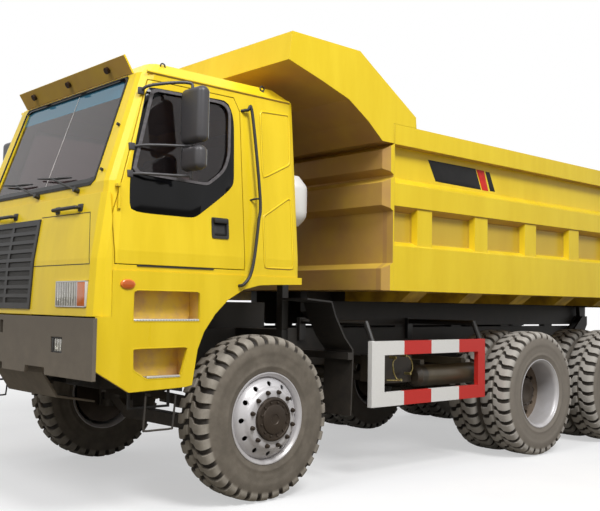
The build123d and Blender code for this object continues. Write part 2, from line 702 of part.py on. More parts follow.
def dashboard():
    """Dashboard with the column and steering wheel on the left."""
    x = CAB_MID + 480
    shape = box(CAB_MID - 1200, CAB_MID + 1000, -4200, -3720, 1990, 2330) & cab_form(CAB_WALL + 0.3)
    shape += rod((x, -3760, 2200), (x, -3450, 2500), 32)
    place = Pos(x, -3450, 2500) * Rot(46, 0, 0)
    rim_ring = extrude(RegularPolygon(232, 20) - RegularPolygon(206, 20), amount=13, both=True)
    return shape + place * rim_ring + place * Box(430, 40, 14)


def door():
    """Left door with its window opening."""
    shape = (cab_form(0) - cab_form(CAB_WALL)) & side_cut(DOOR_OUTLINE)
    for z, up in HINGE_PINS:
        shape += upright(HINGE_PIN_R + 5, z + up * 0.5, z + up * 1.1)
        shape -= upright(HINGE_PIN_R + RUN, z, z + up * 1.2)
    return shape - side_cut(WINDOW_OUTLINE)


def upright(radius, z0, z1):
    """A round piece on the door's hinge line, from z0 to z1."""
    x, y = DOOR_HINGE
    return Pos(x, y, (z0 + z1) / 2) * Cylinder(radius, abs(z1 - z0))


def door_glass():
    """Glass of the left door."""
    return (cab_form(14) - cab_form(20)) & side_cut(WINDOW_OUTLINE, -0.3)


def mirror_heads():
    """Large and small mirror heads on an upright tube, facing the tail."""
    # columns: x from, x to, z from, z to
    heads = ((1452, 1672, 2655, 3128), (1462, 1645, 2488, 2642))
    shape = tube((1504, MIRROR_Y, 2440), (1504, MIRROR_Y, 3150), 13)
    for x0, x1, z0, z1 in heads:
        head = box(x0, x1, MIRROR_Y - 48, MIRROR_Y + 32, z0, z1)
        shape += chamfer(head.edges().filter_by(Axis.Y), 26)
    return shape


def mirror_left():
    """Left mirrors on arms from the door."""
    upper = tube((1280, -3742, 3040), (1504, MIRROR_Y, 3138), 9) - cab_form(-0.3)
    lower = tube((1330, -3918, 2450), (1504, MIRROR_Y, 2455), 9) - cab_form(-0.3)
    return mirror_heads() + upper + lower


def mirror_right():
    """Right mirrors on a post from the deck."""
    shape = right(mirror_heads())
    shape += tube((-1400, -3800, DECK_Z), (-1400, -3800, 2470), 16)
    return shape + tube((-1504, MIRROR_Y, 2455), (-1400, -3800, 2450), 9)


# Tipping body


def bed_floor():
    """Floor plate, level and then rising to the tail."""
    t = 18
    slope = RAMP_RISE / (TAIL_Y - RAMP_Y)
    outline = [
        (BED_FRONT_Y, BED_FLOOR_Z), (RAMP_Y, BED_FLOOR_Z), (TAIL_Y, BED_FLOOR_Z + RAMP_RISE),
        (TAIL_Y, BED_FLOOR_Z + RAMP_RISE + t), (RAMP_Y, BED_FLOOR_Z + t), (BED_FRONT_Y, BED_FLOOR_Z + t),
    ]
    return plate_x(outline, -BED_INNER, BED_INNER)


def bed_side():
    """Left side wall with its rails, waist rib, posts and sill."""
    inn, out, floor, top = BED_INNER, BED_HALF, BED_FLOOR_Z, BED_TOP_Z
    skin = out - 90
    section = [
        (inn, floor - 80), (out, floor - 80), (out, floor + 400), (skin, floor + 450), (skin, RIB_Z - 125),
        (out, RIB_Z - 80), (out, RIB_Z + 125), (skin, RIB_Z + 185), (skin, top - 180), (out, top - 180),
        (out, top), (inn, top),
    ]
    wall = plate_y(section, BED_FRONT_Y, TAIL_Y)
    for y in list(POST_YS) + [TAIL_Y - 810]:
        post = [(y - 125, 0), (y - 105, 75), (y + 105, 75), (y + 125, 0)]
        wall += plate_z([(skin + x, a) for a, x in post], floor + 380, RIB_Z - 75)
    keep = plate_x([
        (BED_FRONT_Y, floor), (RAMP_Y, floor), (TAIL_Y, floor + RAMP_RISE), (TAIL_Y, RIB_Z + 185),
        (TAIL_Y - 120, top), (BED_FRONT_Y, top)], inn - 50, out + 50)
    return wall & keep


def bed_headboard():
    """Front wall of the body with level ribs that carry on round its corners."""
    y, half, floor, top = BED_FRONT_Y, BED_HALF, BED_FLOOR_Z, BED_TOP_Z
    wall = box(-half, half, y - 16, y, floor, top - 180) + box(-CANOPY_HALF, CANOPY_HALF, y - 16, y, top - 180, SEAM_Z)
    # columns: middle height, half height
    for z, reach in ((floor + 100, 95), (RIB_Z + 22, 102), (top - 320, 85)):
        rib = plate_x([(y - 16, z - reach - 50), (y - 100, z - reach), (y - 100, z + reach), (y - 16, z + reach + 50)],
                      -half, half)
        rib &= plate_z([(-half, y), (-half, y - 50), (60 - half, y - 100), (half - 60, y - 100), (half, y - 50),
                        (half, y)], floor, top)
        wall += rib
    return wall


def bed_canopy():
    """Canopy over the cab with its side cheeks, open at the back to the front wall."""
    y, top, roof = BED_FRONT_Y, BED_TOP_Z, CAB_ROOF_Z
    crest = roof + CANOPY_RISE
    under = [(y - 163, top - 177), (y - 348, top - 29), (y - 590, roof - 35), (y - 903, roof + 64), (y - 1275, roof + 169)]
    front = [(y - 1241, crest), (y - 458, crest)]
    wall = y - 16
    outer = under + front + [(wall, SEAM_Z), (wall, top - 177)]
    inner = [(y - 158, top - 161), (y - 340, top - 15), (y - 584, roof - 20), (y - 898, roof + 80),
             (y - 1258, roof + 182), (y - 1228, crest - 14), (y - 462, crest - 14), (wall + 1, SEAM_Z - 16),
             (wall + 1, top - 161)]
    shape = plate_x(outer, -CANOPY_HALF, CANOPY_HALF) - plate_x(inner, -CANOPY_HALF, CANOPY_HALF)
    edge = under + front + [(y - 327, crest - 83), (y + 285, top + 102), (y + 294, top + 0.3), (wall, top + 0.3),
                            (wall, top - 177)]
    return shape + both(plate_x(edge, CANOPY_HALF, BED_HALF))


def bed_underframe():
    """Long members and cross bearers under the floor, with hinge lugs."""
    z0, z1 = RAIL_Z1 + PAD_T, BED_FLOOR_Z
    slope = RAMP_RISE / (TAIL_Y - RAMP_Y)
    end = PIVOT_Y + 60
    long = plate_x([
        (BED_FRONT_Y, z1), (BED_FRONT_Y, 1480), (BED_FRONT_Y + 200, z0), (PIVOT_Y - 150, z0), (end, PIVOT_Z + 40),
        (end, z1 + (end - RAMP_Y) * slope), (RAMP_Y, z1)], RAIL_IN, RAIL_OUT)
    lug = plate_x([(PIVOT_Y - 60, PIVOT_Z - 45), (PIVOT_Y + 50, PIVOT_Z - 45), (PIVOT_Y + 60, PIVOT_Z + 180),
                   (PIVOT_Y - 100, PIVOT_Z + 180)], 474, 528)
    lug -= disc_x(460, 540, PIVOT_Y, PIVOT_Z, PIVOT_R + 0.5)
    shape = both(long + lug)
    for y in POST_YS:
        bearer = [(70 - BED_HALF, z1), (200 - BED_HALF, z1 - 95), (BED_HALF - 200, z1 - 95), (BED_HALF - 70, z1)]
        shape += plate_y(bearer, y - 125, y + 125)
    shape += plate_x([(PIVOT_Y - 100, 1570), (end, 1570), (end, z1 + (end - RAMP_Y) * slope),
                      (PIVOT_Y - 100, z1 + (PIVOT_Y - 100 - RAMP_Y) * slope)], -1400, 1400)
    eye_y, eye_z = HOIST_EYE
    shape += box(-RAIL_IN, RAIL_IN, eye_y - 90, eye_y + 90, z1 - 80, z1)
    for x in (HOIST_X - 60, HOIST_X + 45):
        shape += both(box(x, x + 15, eye_y - 50, eye_y + 50, eye_z - 50, z1 - 70))
    return shape


# Hoist


def hoist_point(distance):
    """A point on the hoist's axis, measured from its base."""
    (y0, z0), (y1, z1) = HOIST_BASE, HOIST_EYE
    length = ((y1 - y0) ** 2 + (z1 - z0) ** 2) ** 0.5
    return y0 + (y1 - y0) * distance / length, z0 + (z1 - z0) * distance / length


def hoist_barrels():
    """Two cylinder barrels on one trunnion shaft."""
    y, z = HOIST_BASE
    barrel = rod((HOIST_X, *hoist_point(110)), (HOIST_X, *hoist_point(1640)), BARREL_R)
    barrel -= rod((HOIST_X, *hoist_point(190)), (HOIST_X, *hoist_point(1700)), ROD_R + RUN)
    barrel += box(HOIST_X - 40, HOIST_X + 40, y - 55, y + 140, z - 50, z + 55)
    return both(barrel) + disc_x(-RAIL_IN - 40, RAIL_IN + 40, y, z, TRUNNION_R)


def hoist_rods():
    """Two piston rods with their eyes."""
    y, z = HOIST_EYE
    shape = both(rod((HOIST_X, *hoist_point(1000)), (HOIST_X, y, z), ROD_R))
    shape += both(disc_x(HOIST_X - 38, HOIST_X + 38, y, z, 58))
    return shape - both(disc_x(HOIST_X - 60, HOIST_X + 60, y, z, 38))


FRONT_GROUP = (
    "engine_block", "mudguards", "air_cleaner", "cab_shell", "cab_front", "grille", "cab_glass", "sun_visor",
    "step_panels", "side_deck", "seats", "dashboard", "door", "door_glass", "mirror_left", "mirror_right",
)


def main():
    """Build and write every node."""
    os.makedirs("parts", exist_ok=True)
    left_knuckle = knuckle()
    left_rim = front_rim()
    left_tyre = front_tyre()
    left_side = bed_side()
    nodes = {
        "frame": frame(),
        "cross_members": cross_members(),
        "bumper": bumper(),
        "front_axle": front_axle(),
        "front_springs": front_springs(),
        "drive_axles": drive_axle(AXLE_M) + drive_axle(AXLE_R),
        "rear_springs": rear_springs(),
        "driveline": driveline(),
        "engine_block": engine_block(),
        "fuel_tank": fuel_tank(),
        "air_tanks": air_tanks(),
        "side_guards": side_guards(),
        "mudguards": mudguards(),
        "air_cleaner": air_cleaner(),
        "lamps": lamps(),
        "cab_shell": cab_shell(),
        "cab_front": cab_front(),
        "grille": grille(),
        "cab_glass": cab_glass(),
        "sun_visor": sun_visor(),
        "step_panels": step_panels(),
        "side_deck": side_deck(),
        "seats": seats(),
        "dashboard": dashboard(),
        "door": door(),
        "door_glass": door_glass(),
        "mirror_left": mirror_left(),
        "mirror_right": mirror_right(),
        "knuckle_left": left_knuckle,
        "knuckle_right": right(left_knuckle),
        "tie_rod": tie_rod(),
        "rim_front_left": left_rim,
        "rim_front_right": right(left_rim),
        "tyre_front_left": left_tyre,
        "tyre_front_right": right(left_tyre),
        "bed_floor": bed_floor(),
        "bed_side_left": left_side,
        "bed_side_right": right(left_side),
        "bed_headboard": bed_headboard(),
        "bed_canopy": bed_canopy(),
        "bed_underframe": bed_underframe(),
        "hoist_barrels": hoist_barrels(),
        "hoist_rods": hoist_rods(),
    }
    for name in FRONT_GROUP:
        nodes[name] = Pos(0, FRONT_SHIFT, 0) * nodes[name]
    for axle, y in (("fore", AXLE_M), ("aft", AXLE_R)):
        rims = rear_rims(y)
        tyres = rear_tyres(y)
        nodes[f"rims_{axle}_left"] = rims
        nodes[f"rims_{axle}_right"] = right(rims)
        nodes[f"tyres_{axle}_left"] = tyres
        nodes[f"tyres_{axle}_right"] = right(tyres)
    for name, shape in nodes.items():
        save(name, shape)


main()
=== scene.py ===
"""Looks for a mining dump truck: studio, then the truck's pieces in the order they are put together.

Metres, X to the truck's left, Y to its tail, Z up, ground at Z = 0.
"""

from math import cos, pi, radians, sin

import bpy
import numpy as np
from mathutils import Matrix, Vector


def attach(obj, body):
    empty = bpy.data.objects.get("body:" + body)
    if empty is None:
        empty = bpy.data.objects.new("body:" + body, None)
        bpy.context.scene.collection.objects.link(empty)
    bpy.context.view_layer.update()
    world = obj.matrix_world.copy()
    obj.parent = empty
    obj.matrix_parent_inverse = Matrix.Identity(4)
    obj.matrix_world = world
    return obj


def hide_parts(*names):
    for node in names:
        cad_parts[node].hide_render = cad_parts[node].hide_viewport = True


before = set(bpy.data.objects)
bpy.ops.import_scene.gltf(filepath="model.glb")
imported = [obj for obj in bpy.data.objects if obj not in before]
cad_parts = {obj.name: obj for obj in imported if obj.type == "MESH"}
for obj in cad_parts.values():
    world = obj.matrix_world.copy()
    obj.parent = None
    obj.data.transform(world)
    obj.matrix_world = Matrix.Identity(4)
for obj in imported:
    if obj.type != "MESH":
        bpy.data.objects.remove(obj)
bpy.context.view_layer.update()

# Studio
# A plain pale floor and white surroundings, with one broad lamp high at the camera's right and a
# softer one high at its left. The camera stands low, off the cab's left front corner.

scene = bpy.context.scene
scene.view_settings.view_transform = "Standard"

YAW, PITCH, ROLL = 2.401865, 0.0573158, 0.0155205
FOCAL_PIXELS, WIDTH_PIXELS, SENSOR_MM = 867.054, 600, 36.0
look = Vector((cos(PITCH) * cos(YAW), cos(PITCH) * sin(YAW), sin(PITCH)))
level = Vector((sin(YAW), -cos(YAW), 0.0))
rise = level.cross(look)
across = level * cos(ROLL) + rise * sin(ROLL)
upward = rise * cos(ROLL) - level * sin(ROLL)
camera_data = bpy.data.cameras.new("camera")
camera_data.sensor_fit = "HORIZONTAL"
camera_data.sensor_width = SENSOR_MM
camera_data.lens = FOCAL_PIXELS / WIDTH_PIXELS * SENSOR_MM
camera_data.clip_start, camera_data.clip_end = 0.1, 200.0
camera = bpy.data.objects.new("camera", camera_data)
scene.collection.objects.link(camera)
pose = Matrix((across, upward, -look)).transposed().to_4x4()
pose.translation = Vector((6.637, -7.086, 1.539))
camera.matrix_world = pose
scene.camera = camera


def linear(hex_colour):
    """An sRGB hex colour as linear red, green, blue, alpha."""
    channels = [int(hex_colour[i:i + 2], 16) / 255 for i in (1, 3, 5)]
    return [c / 12.92 if c <= 0.04045 else ((c + 0.055) / 1.055) ** 2.4 for c in channels] + [1.0]


def join(value, socket):
    """Links a socket, or a node's first output, to an input, or sets it to a number or a hex colour."""
    value = value.outputs[0] if isinstance(value, bpy.types.Node) else value
    if isinstance(value, bpy.types.NodeSocket):
        socket.id_data.links.new(value, socket)
    else:
        socket.default_value = linear(value) if isinstance(value, str) else value


def fill(node, **inputs):
    """Joins values to a node's inputs by name, with _ for a space."""
    for name, value in inputs.items():
        join(value, node.inputs[name.replace("_", " ")])


def add(tree, kind, *values, **named):
    """A shader node: values go to its first inputs, small names are settings and the rest are inputs."""
    made = tree.nodes.new("ShaderNode" + kind)
    for name, value in named.items():
        if name.islower():
            setattr(made, name, value)
    for socket, value in zip(made.inputs, values):
        join(value, socket)
    fill(made, **{name: value for name, value in named.items() if not name.islower()})
    return made


def between(tree, source, one, other, low=None, high=None):
    """One colour passing into another as the source goes from 0 to 1, or smoothly from low to high."""
    if low is not None:
        source = add(tree, "MapRange", source, low, high, interpolation_type="SMOOTHSTEP")
    made = add(tree, "Mix", source, data_type="RGBA")
    join(one, made.inputs[6])
    join(other, made.inputs[7])
    return made.outputs[2]


def finish_of(name, **values):
    """A material with its shader's values, then its node tree, its shader and Object coordinates."""
    material = bpy.data.materials.new(name)
    material.use_nodes = True
    tree = material.node_tree
    shader = tree.nodes["Principled BSDF"]
    fill(shader, **values)
    return material, tree, shader, add(tree, "TexCoord").outputs["Object"]


def wear(material, *names):
    """Gives CAD nodes' slots one finish."""
    for name in names:
        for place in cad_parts[name].material_slots:
            place.material = material


world = bpy.data.worlds.new("studio")
scene.world = world
world.use_nodes = True
tree = world.node_tree
seen = add(tree, "LightPath").outputs
mirrored = add(tree, "Math", seen["Is Glossy Ray"], seen["Is Transmission Ray"], operation="MAXIMUM")
direct = add(tree, "Math", seen["Is Camera Ray"], mirrored, operation="MAXIMUM")
soft = add(tree, "Background", "#F4F5F8", 0.31)
white = add(tree, "Background", "#FFFFFF", 1.0)
fill(tree.nodes["World Output"], Surface=add(tree, "MixShader", direct, soft, white))

for name, place, aim, size, power in (
    ("key_lamp", (10.0, -4.0, 12.0), (0.0, -1.0, 1.0), 5.0, 1600.0),
    ("fill_lamp", (3.0, -11.5, 10.5), (0.0, -2.0, 1.4), 6.0, 760.0),
):
    lamp = bpy.data.lights.new(name, "AREA")
    lamp.shape, lamp.size, lamp.energy = "DISK", size, power
    lamp_object = bpy.data.objects.new(name, lamp)
    lamp_object.location = place
    lamp_object.rotation_euler = (Vector(aim) - Vector(place)).to_track_quat("-Z", "Y").to_euler()
    scene.collection.objects.link(lamp_object)


def circle(count):
    """Evenly spaced angles once round."""
    return np.linspace(0, 2 * pi, count + 1)[:-1]


def shell(name, skins, body, material, smooth=40.0):
    """A mesh from skins; a skin is one grid, or a list of grids, of rows x columns x 3 with its wraps.

    Quads join neighbours and points of a skin that fall together become one. A skin is turned right
    side out where its volume, the sum of a . (b x c) over its triangles' corners, is below zero.
    """
    points, faces, start = [], [], 0
    for skin in skins:
        spots, quads, used = [], [], 0
        for grid, wrap_rows, wrap_columns in skin if isinstance(skin, list) else [skin]:
            rows, columns = grid.shape[:2]
            index = np.arange(rows * columns).reshape(rows, columns) + used
            if wrap_rows:
                index = np.vstack((index, index[:1]))
            if wrap_columns:
                index = np.hstack((index, index[:, :1]))
            corners = (index[:-1, :-1], index[1:, :-1], index[1:, 1:], index[:-1, 1:])
            quads.append(np.stack(corners, -1).reshape(-1, 4))
            spots.append(grid.reshape(-1, 3))
            used += rows * columns
        spots, quads = np.vstack(spots), np.vstack(quads)
        whole = np.round(spots * 1e6).astype(np.int64)
        _, first, twin = np.unique(whole, axis=0, return_index=True, return_inverse=True)
        order = np.argsort(first)
        rank = np.empty_like(order)
        rank[order] = np.arange(order.size)
        spots, quads = spots[first[order]], rank[twin.ravel()][quads]
        a, b, c, d = (spots[quads[:, i]] - spots.mean(0) for i in range(4))
        if (a * np.cross(b, c)).sum() + (a * np.cross(c, d)).sum() < 0:
            quads = quads[:, ::-1]
        same = quads == np.roll(quads, -1, 1)
        doubled = same.sum(1)
        threes = quads[doubled == 1][~same[doubled == 1]].reshape(-1, 3)
        faces += (quads[doubled == 0] + start).tolist() + (threes + start).tolist()
        points.append(spots)
        start += len(spots)
    mesh = bpy.data.meshes.new(name)
    mesh.from_pydata(np.vstack(points), [], faces)
    mesh.validate()
    mesh.shade_smooth()
    mesh.set_sharp_from_angle(angle=radians(smooth))
    mesh.materials.append(material)
    made = bpy.data.objects.new(name, mesh)
    scene.collection.objects.link(made)
    if body:
        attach(made, body)
    return made


floor_material, tree, shader, spot = finish_of("pale_studio_floor", Roughness=0.9)
far = add(tree, "VectorMath", spot, operation="LENGTH").outputs["Value"]
fine = add(tree, "TexNoise", spot, Scale=1.3, Detail=4.0)
direct = add(tree, "LightPath").outputs["Is Camera Ray"]
shown = between(tree, fine, "#F4F4F5", "#F9F9F9", 0.3, 0.7)
fill(shader, Base_Color=between(tree, direct, "#8A857C", shown))
glow = add(tree, "Emission", "#FFFFFF", 1.0)
fade = add(tree, "MapRange", far, 4.5, 12.0, 0.5, 1.0, interpolation_type="SMOOTHSTEP")
plain = add(tree, "Math", fade, direct, operation="MULTIPLY")
fill(tree.nodes["Material Output"], Surface=add(tree, "MixShader", plain, shader, glow))
reach, turn = np.linspace(0.0, 60.0, 13), circle(48)
ground = np.stack((np.outer(reach, np.cos(turn)), np.outer(reach, np.sin(turn)), np.zeros((13, 48))), -1)
shell("floor", [(ground, False, True)], None, floor_material)

# Frame and underbody
# Pressed and riveted steel rails, cross members and brackets, sprayed in black chassis paint
# before the axles go in. It gives a dull black with a little brown road dust on its ledges.


def dusty(tree, colour, dust, low, high, most):
    """A colour with road dust in patches, which thickens downwards from the height high to low."""
    place = add(tree, "TexCoord").outputs["Object"]
    height = add(tree, "SeparateXYZ", place).outputs[2]
    lies = add(tree, "MapRange", height, high, low, 0.0, most)
    patch = add(tree, "TexNoise", place, Scale=7.0, Detail=6.0, Roughness=0.65)
    patch = add(tree, "MapRange", patch, 0.3, 0.72, 0.15, 1.0)
    return between(tree, add(tree, "Math", lies, patch, operation="MULTIPLY"), colour, dust)


def grained(tree, shader, size_mm, height_mm, detail=3.0, edge=0.0):
    """A bump from noise with grains of a real size, on edges rounded by a real radius."""
    place = add(tree, "TexCoord").outputs["Object"]
    grain = add(tree, "TexNoise", place, Scale=1000.0 / size_mm, Detail=detail)
    bump = add(tree, "Bump", Strength=1.0, Distance=height_mm / 1000, Height=grain)
    if edge:
        fill(bump, Normal=add(tree, "Bevel", edge, samples=4))
    fill(shader, Normal=bump)


def painted(name, colour, dust, spread, grain, **values):
    """A plain colour with dusty's heights and share in spread, and grained's sizes in grain."""
    material, tree, shader, _ = finish_of(name, **values)
    fill(shader, Base_Color=dusty(tree, colour, dust, *spread))
    grained(tree, shader, *grain)
    return material


def mottled(name, dark, pale, scale, detail=3.0, low=0.3, high=0.7, **values):
    """A colour that drifts between two with a noise of a given scale."""
    material, tree, shader, place = finish_of(name, **values)
    noise = add(tree, "TexNoise", place, Scale=scale, Detail=detail)
    fill(shader, Base_Color=between(tree, noise, dark, pale, low, high))
    return material


chassis_black = painted("chassis_black_spray_paint", "#211F1D", "#6B5F50", (0.1, 1.5, 0.45),
                        (14, 0.5, 3.0, 0.004), Roughness=0.52)
wear(chassis_black, "frame", "cross_members", "air_cleaner", "mudguards")

# Axles, springs and drive shafts are castings and forgings under the same black, brushed on
# thickly over the rough skin, so it keeps the casting's grain and gathers dust in it.

forged_steel = painted("painted_rough_casting", "#2B2926", "#7A6C5A", (0.1, 1.3, 0.6), (9, 1.2, 6.0, 0.006),
                       Roughness=0.66, Metallic=0.1)
wear(forged_steel, "front_axle", "front_springs", "rear_springs", "drive_axles", "driveline", "engine_block",
     "knuckle_left", "knuckle_right", "tie_rod")

# The hoist's barrels are painted steel tube, and its rods are hard chrome ground to a mirror.

wear(chassis_black, "hoist_barrels")
hard_chrome = mottled("ground_hard_chrome", "#C9CBCD", "#DCDDDF", 260.0, 2.0, Metallic=1.0, Roughness=0.14)
wear(hard_chrome, "hoist_rods")

# Tyres
# Cross-ply rock tyres, 1.3 m high: a rubber carcass with two rows of deep staggered lugs that run
# over the shoulders. The rubber is charcoal; its grooves are darkened as painted shade, its lug tops
# are paler as dust and painted light, and the rear tyres are paler as painted light.

LUGS = 34
FRONT_AXLE_Y, FORE_AXLE_Y, AFT_AXLE_Y, AXLE_Z = -2.630, 1.020, 2.680, 0.650
SINGLE_X, OUTER_X, INNER_X = 1.250, 1.395, 0.985
SIDES = ((1, "left"), (-1, "right"))


def about_axle(x, axle_y, radius, turn):
    """Points x along a level axle, a radius from it and turned round it, as whole arrays."""
    y, z = axle_y + radius * np.cos(turn), AXLE_Z + radius * np.sin(turn)
    return np.stack(np.broadcast_arrays(x, y, z), -1)


def tyre_grid(middle_x, axle_y, phase):
    """A tyre about the axle: a closed section carried round it, raised along its normal by the lugs.

    Height = lug depth for that place of the section x (1 on a lug, 0 in a groove). A lug's turn steps
    by a share of the pitch between the crown and the shoulder, and the two rows are half a lug apart.
    The tone is 1 on a lug's top, 0 in a groove and a half on the smooth sidewall; the rubber turns it
    into painted light on the tops and painted shade in the grooves.
    """
    # columns: from the middle, radius, lug depth (millimetres), step of the lug as a share of its pitch
    half = np.array([
        (0.5, 628, 6, 0), (9, 628, 6, 0), (15, 627, 21, 0), (32, 627, 22, 0.03), (48, 627, 22, 0.06),
        (66, 626, 22, 0.34), (84, 625, 22, 0.38), (112, 622, 23, 0.42), (134, 617, 23, 0.40),
        (147, 608, 20, 0.38), (156, 596, 15, 0.36), (162, 584, 9, 0.35), (166, 575, 2, 0.35),
        (169, 566, 0, 0.35), (173, 548, 0, 0.35), (175.4, 526, 0, 0.35), (176.4, 505, 0, 0.35),
        (174.8, 500, 0, 0.35), (174.8, 470, 0, 0.35), (173.6, 440, 0, 0.35), (171.4, 416, 0, 0.35),
        (173.4, 411, 0, 0.35), (172.4, 398, 0, 0.35), (167.5, 390, 0, 0.35), (163.5, 374, 0, 0.35),
        (157.5, 358, 0, 0.35), (151.0, 352, 0, 0.35), (149.5, 348, 0, 0.35),
    ])
    section = np.vstack((half[::-1] * (-1, 1, 1, 1), half))
    x, r, depth = section.T[:3] / 1000.0
    step_x, step_r = np.gradient(x), np.gradient(r)
    length = np.hypot(step_x, step_r)
    # columns: share of a lug's pitch, height
    cell = np.array([(0.00, 1), (0.16, 1), (0.32, 1), (0.48, 1), (0.60, 1), (0.64, 0), (0.76, 0), (0.88, 0),
                     (0.96, 0)])
    share = (np.arange(LUGS)[:, None] + cell[:, 0]).ravel()
    high = np.tile(cell[:, 1], LUGS)[:, None]
    turn = 2 * pi / LUGS * (share[:, None] + np.where(x > 0, 0.5, 0.0) + section[:, 3]) + phase
    # no wall passes the solid's width, and no lug its radius
    px = np.clip(x - high * depth * step_r / length, -0.1772, 0.1772)
    pr = np.minimum(r + high * depth * step_x / length, 0.650)
    tone = 0.5 + (high - 0.5) * np.clip(depth / 0.012, 0, 1)
    return about_axle(middle_x + px, axle_y, pr, turn), tone


rubber, tree, shader, place = finish_of("moulded_rubber_dust_and_painted_light", Roughness=0.82, Specular_IOR_Level=0.35)
tone = add(tree, "Attribute", attribute_name="tone").outputs["Fac"]
patch = add(tree, "TexNoise", place, Scale=9.0, Detail=5.0, Roughness=0.6)
grooves = between(tree, patch, "#2E2A27", "#423D37", 0.3, 0.75)
walls = between(tree, patch, "#665F55", "#787065", 0.3, 0.75)
tops = between(tree, patch, "#857E73", "#A29B90", 0.25, 0.7)
# Painted light: the rear tyres' walls and tops are paler than the front ones'.
rear_painted_light = add(tree, "MapRange", add(tree, "SeparateXYZ", place).outputs[1], -1.2, 0.2, 0.0, 0.6)
walls, tops = between(tree, rear_painted_light, walls, "#8E877E"), between(tree, rear_painted_light, tops, "#C3BFB9")
# Painted light and shade: by the tone the grooves darken and the lug tops grow paler, partly as dust.
low, top = (add(tree, "MapRange", tone, a, a + 0.5) for a in (0.0, 0.5))
fill(shader, Base_Color=between(tree, top, between(tree, low, grooves, walls), tops))
grained(tree, shader, 8, 0.8, 5.0)
for axle, kind, y, places in (
    ("front", "tyre", FRONT_AXLE_Y, (SINGLE_X,)),
    ("fore", "tyres", FORE_AXLE_Y, (OUTER_X, INNER_X)),
    ("aft", "tyres", AFT_AXLE_Y, (OUTER_X, INNER_X)),
):
    for side, hand in SIDES:
        grids = [tyre_grid(side * x, y, 0.31 * i + 0.13 * y) for i, x in enumerate(places)]
        skins = [(grid, True, True) for grid, _ in grids]
        made = shell(f"{axle}_{kind}_{hand}", skins, f"wheel_{axle}_{hand}", rubber, 32)
        tones = np.concatenate([tone.ravel() for _, tone in grids]).astype(np.float32)
        made.data.attributes.new("tone", "FLOAT", "POINT").data.foreach_set("value", tones)
        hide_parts(f"{kind}_{axle}_{hand}")

# Rims and hubs
# Pressed steel wheels: a rolled rim with turned lips, a dished disc with twelve hand holes and rings
# of nuts round a cast hub. Rims and front discs are silver enamel, hubs are bare and oily.


def turned_ring(profile, middle_x, axle_y, side, sides=96):
    """A closed profile of (x, r) in millimetres turned round the axle; side turns its outside in or out."""
    x, r = np.asarray(profile, float).T[..., None] / 1000
    return about_axle(middle_x + side * x, axle_y, r, circle(sides) * side), True, True


def holed_ring(dish, inner, outer, hole_at, hole_r, middle_x, axle_y, side, holes=12, around=32, steps=7):
    """A dished ring with round holes: between a hole's circle (v = 0) and its share of the ring (v = 1).

    A point is circle + v x (border - circle), in angle and radius, lifted to the dish's x for its radius.
    """
    sector = pi / holes
    t = circle(around)
    v = np.linspace(0, 1, steps)[:, None] ** 0.8
    reach = 1 / np.maximum(np.abs(np.cos(t)), np.abs(np.sin(t)))
    angle_edge = sector * reach * np.cos(t)
    radius_edge = (inner + outer) / 2 + (outer - inner) / 2 * reach * np.sin(t)
    angle_hole, radius_hole = hole_r / hole_at * np.cos(t), hole_at + hole_r * np.sin(t)
    angle = angle_hole + v * (angle_edge - angle_hole)
    radius = radius_hole + v * (radius_edge - radius_hole)
    level = np.interp(radius, dish[:, 0], dish[:, 1])
    skin = []
    for i in range(holes):
        front, back = (about_axle(middle_x + side * (level - behind) / 1000, axle_y, radius / 1000,
                                  (angle + 2 * i * sector) * side) for behind in (0.0, DISC_MM))
        skin += [(grid, False, True) for grid in (front, back[::-1], np.stack((back[0], front[0])))]
        for edge in (slice(around // 8, 3 * around // 8 + 1), slice(5 * around // 8, 7 * around // 8 + 1)):
            skin.append((np.stack((front[-1, edge], back[-1, edge])), False, False))
    return skin


def nuts(ring_r, count, seat_x, middle_x, axle_y, side, size=15, tall=24, stud=34):
    """Six-sided nuts on a circle, each a short prism with a domed stud; x = seat + height."""
    # columns: height, radius
    steps = np.array([(0, 0), (0, size * 1.25), (4, size * 1.25), (4, size), (tall - 4, size),
                      (tall, size * 0.82), (tall, 8), (stud, 8), (stud + 2, 5), (stud + 2, 0)])
    turn = circle(12) * side
    facet = 1 / np.cos((turn + pi / 6) % (pi / 3) - pi / 6)
    flat = (steps[:, 1:] > 8) & (steps[:, 1:] <= size)
    radius = steps[:, 1:] * np.where(flat, facet * 0.95, 1.0)
    x = middle_x + side * (seat_x + steps[:, :1] + 0 * radius) / 1000
    grids = []
    for i in range(count):
        spot = 2 * pi * (i + 0.5) / count
        y = axle_y + (ring_r * cos(spot) + radius * np.cos(turn)) / 1000
        z = AXLE_Z + (ring_r * sin(spot) + radius * np.sin(turn)) / 1000
        grids.append((np.stack((x, y, z), -1), False, True))
    return grids


RIM_BARREL = [
    (-163.5, 359), (-160, 360), (-156, 357), (-152, 351), (-149.5, 347), (-120, 345.5), (-60, 336), (60, 336),
    (120, 345.5), (149.5, 347), (152, 351), (156, 357), (160, 360), (163.5, 359), (163.5, 351), (158, 347),
    (152, 336), (140, 326), (118, 322), (-118, 322), (-140, 326), (-152, 336), (-158, 347), (-163.5, 351),
]
silver_enamel = painted("silver_wheel_enamel", "#CBC9CB", "#958B7C", (0.25, 1.1, 0.4), (20, 0.15),
                        Metallic=0.2, Roughness=0.38)
cast_hub = painted("oily_cast_iron_hub", "#31271F", "#665A4C", (0.3, 1.0, 0.5), (7, 0.6, 5.0),
                   Roughness=0.45, Metallic=0.4)

# The front disc domes outwards past the tyre's wall, and the rear ones sit deep between the twins
# and are painted dark brown. Columns: radius, height over the disc's seat, in millimetres.

DISC_MM = 14.0
FRONT_DISH = np.array([(150, 4), (196, 4), (226, 2), (240, -10), (252, -32), (272, -44), (292, -58),
                       (312, -82), (330, -104)], float)
REAR_DISH = np.array([(90, 0), (150, 0), (172, 0), (195, -2), (240, -4), (268, 4), (300, 14), (322, 22),
                      (330, 26)], float)


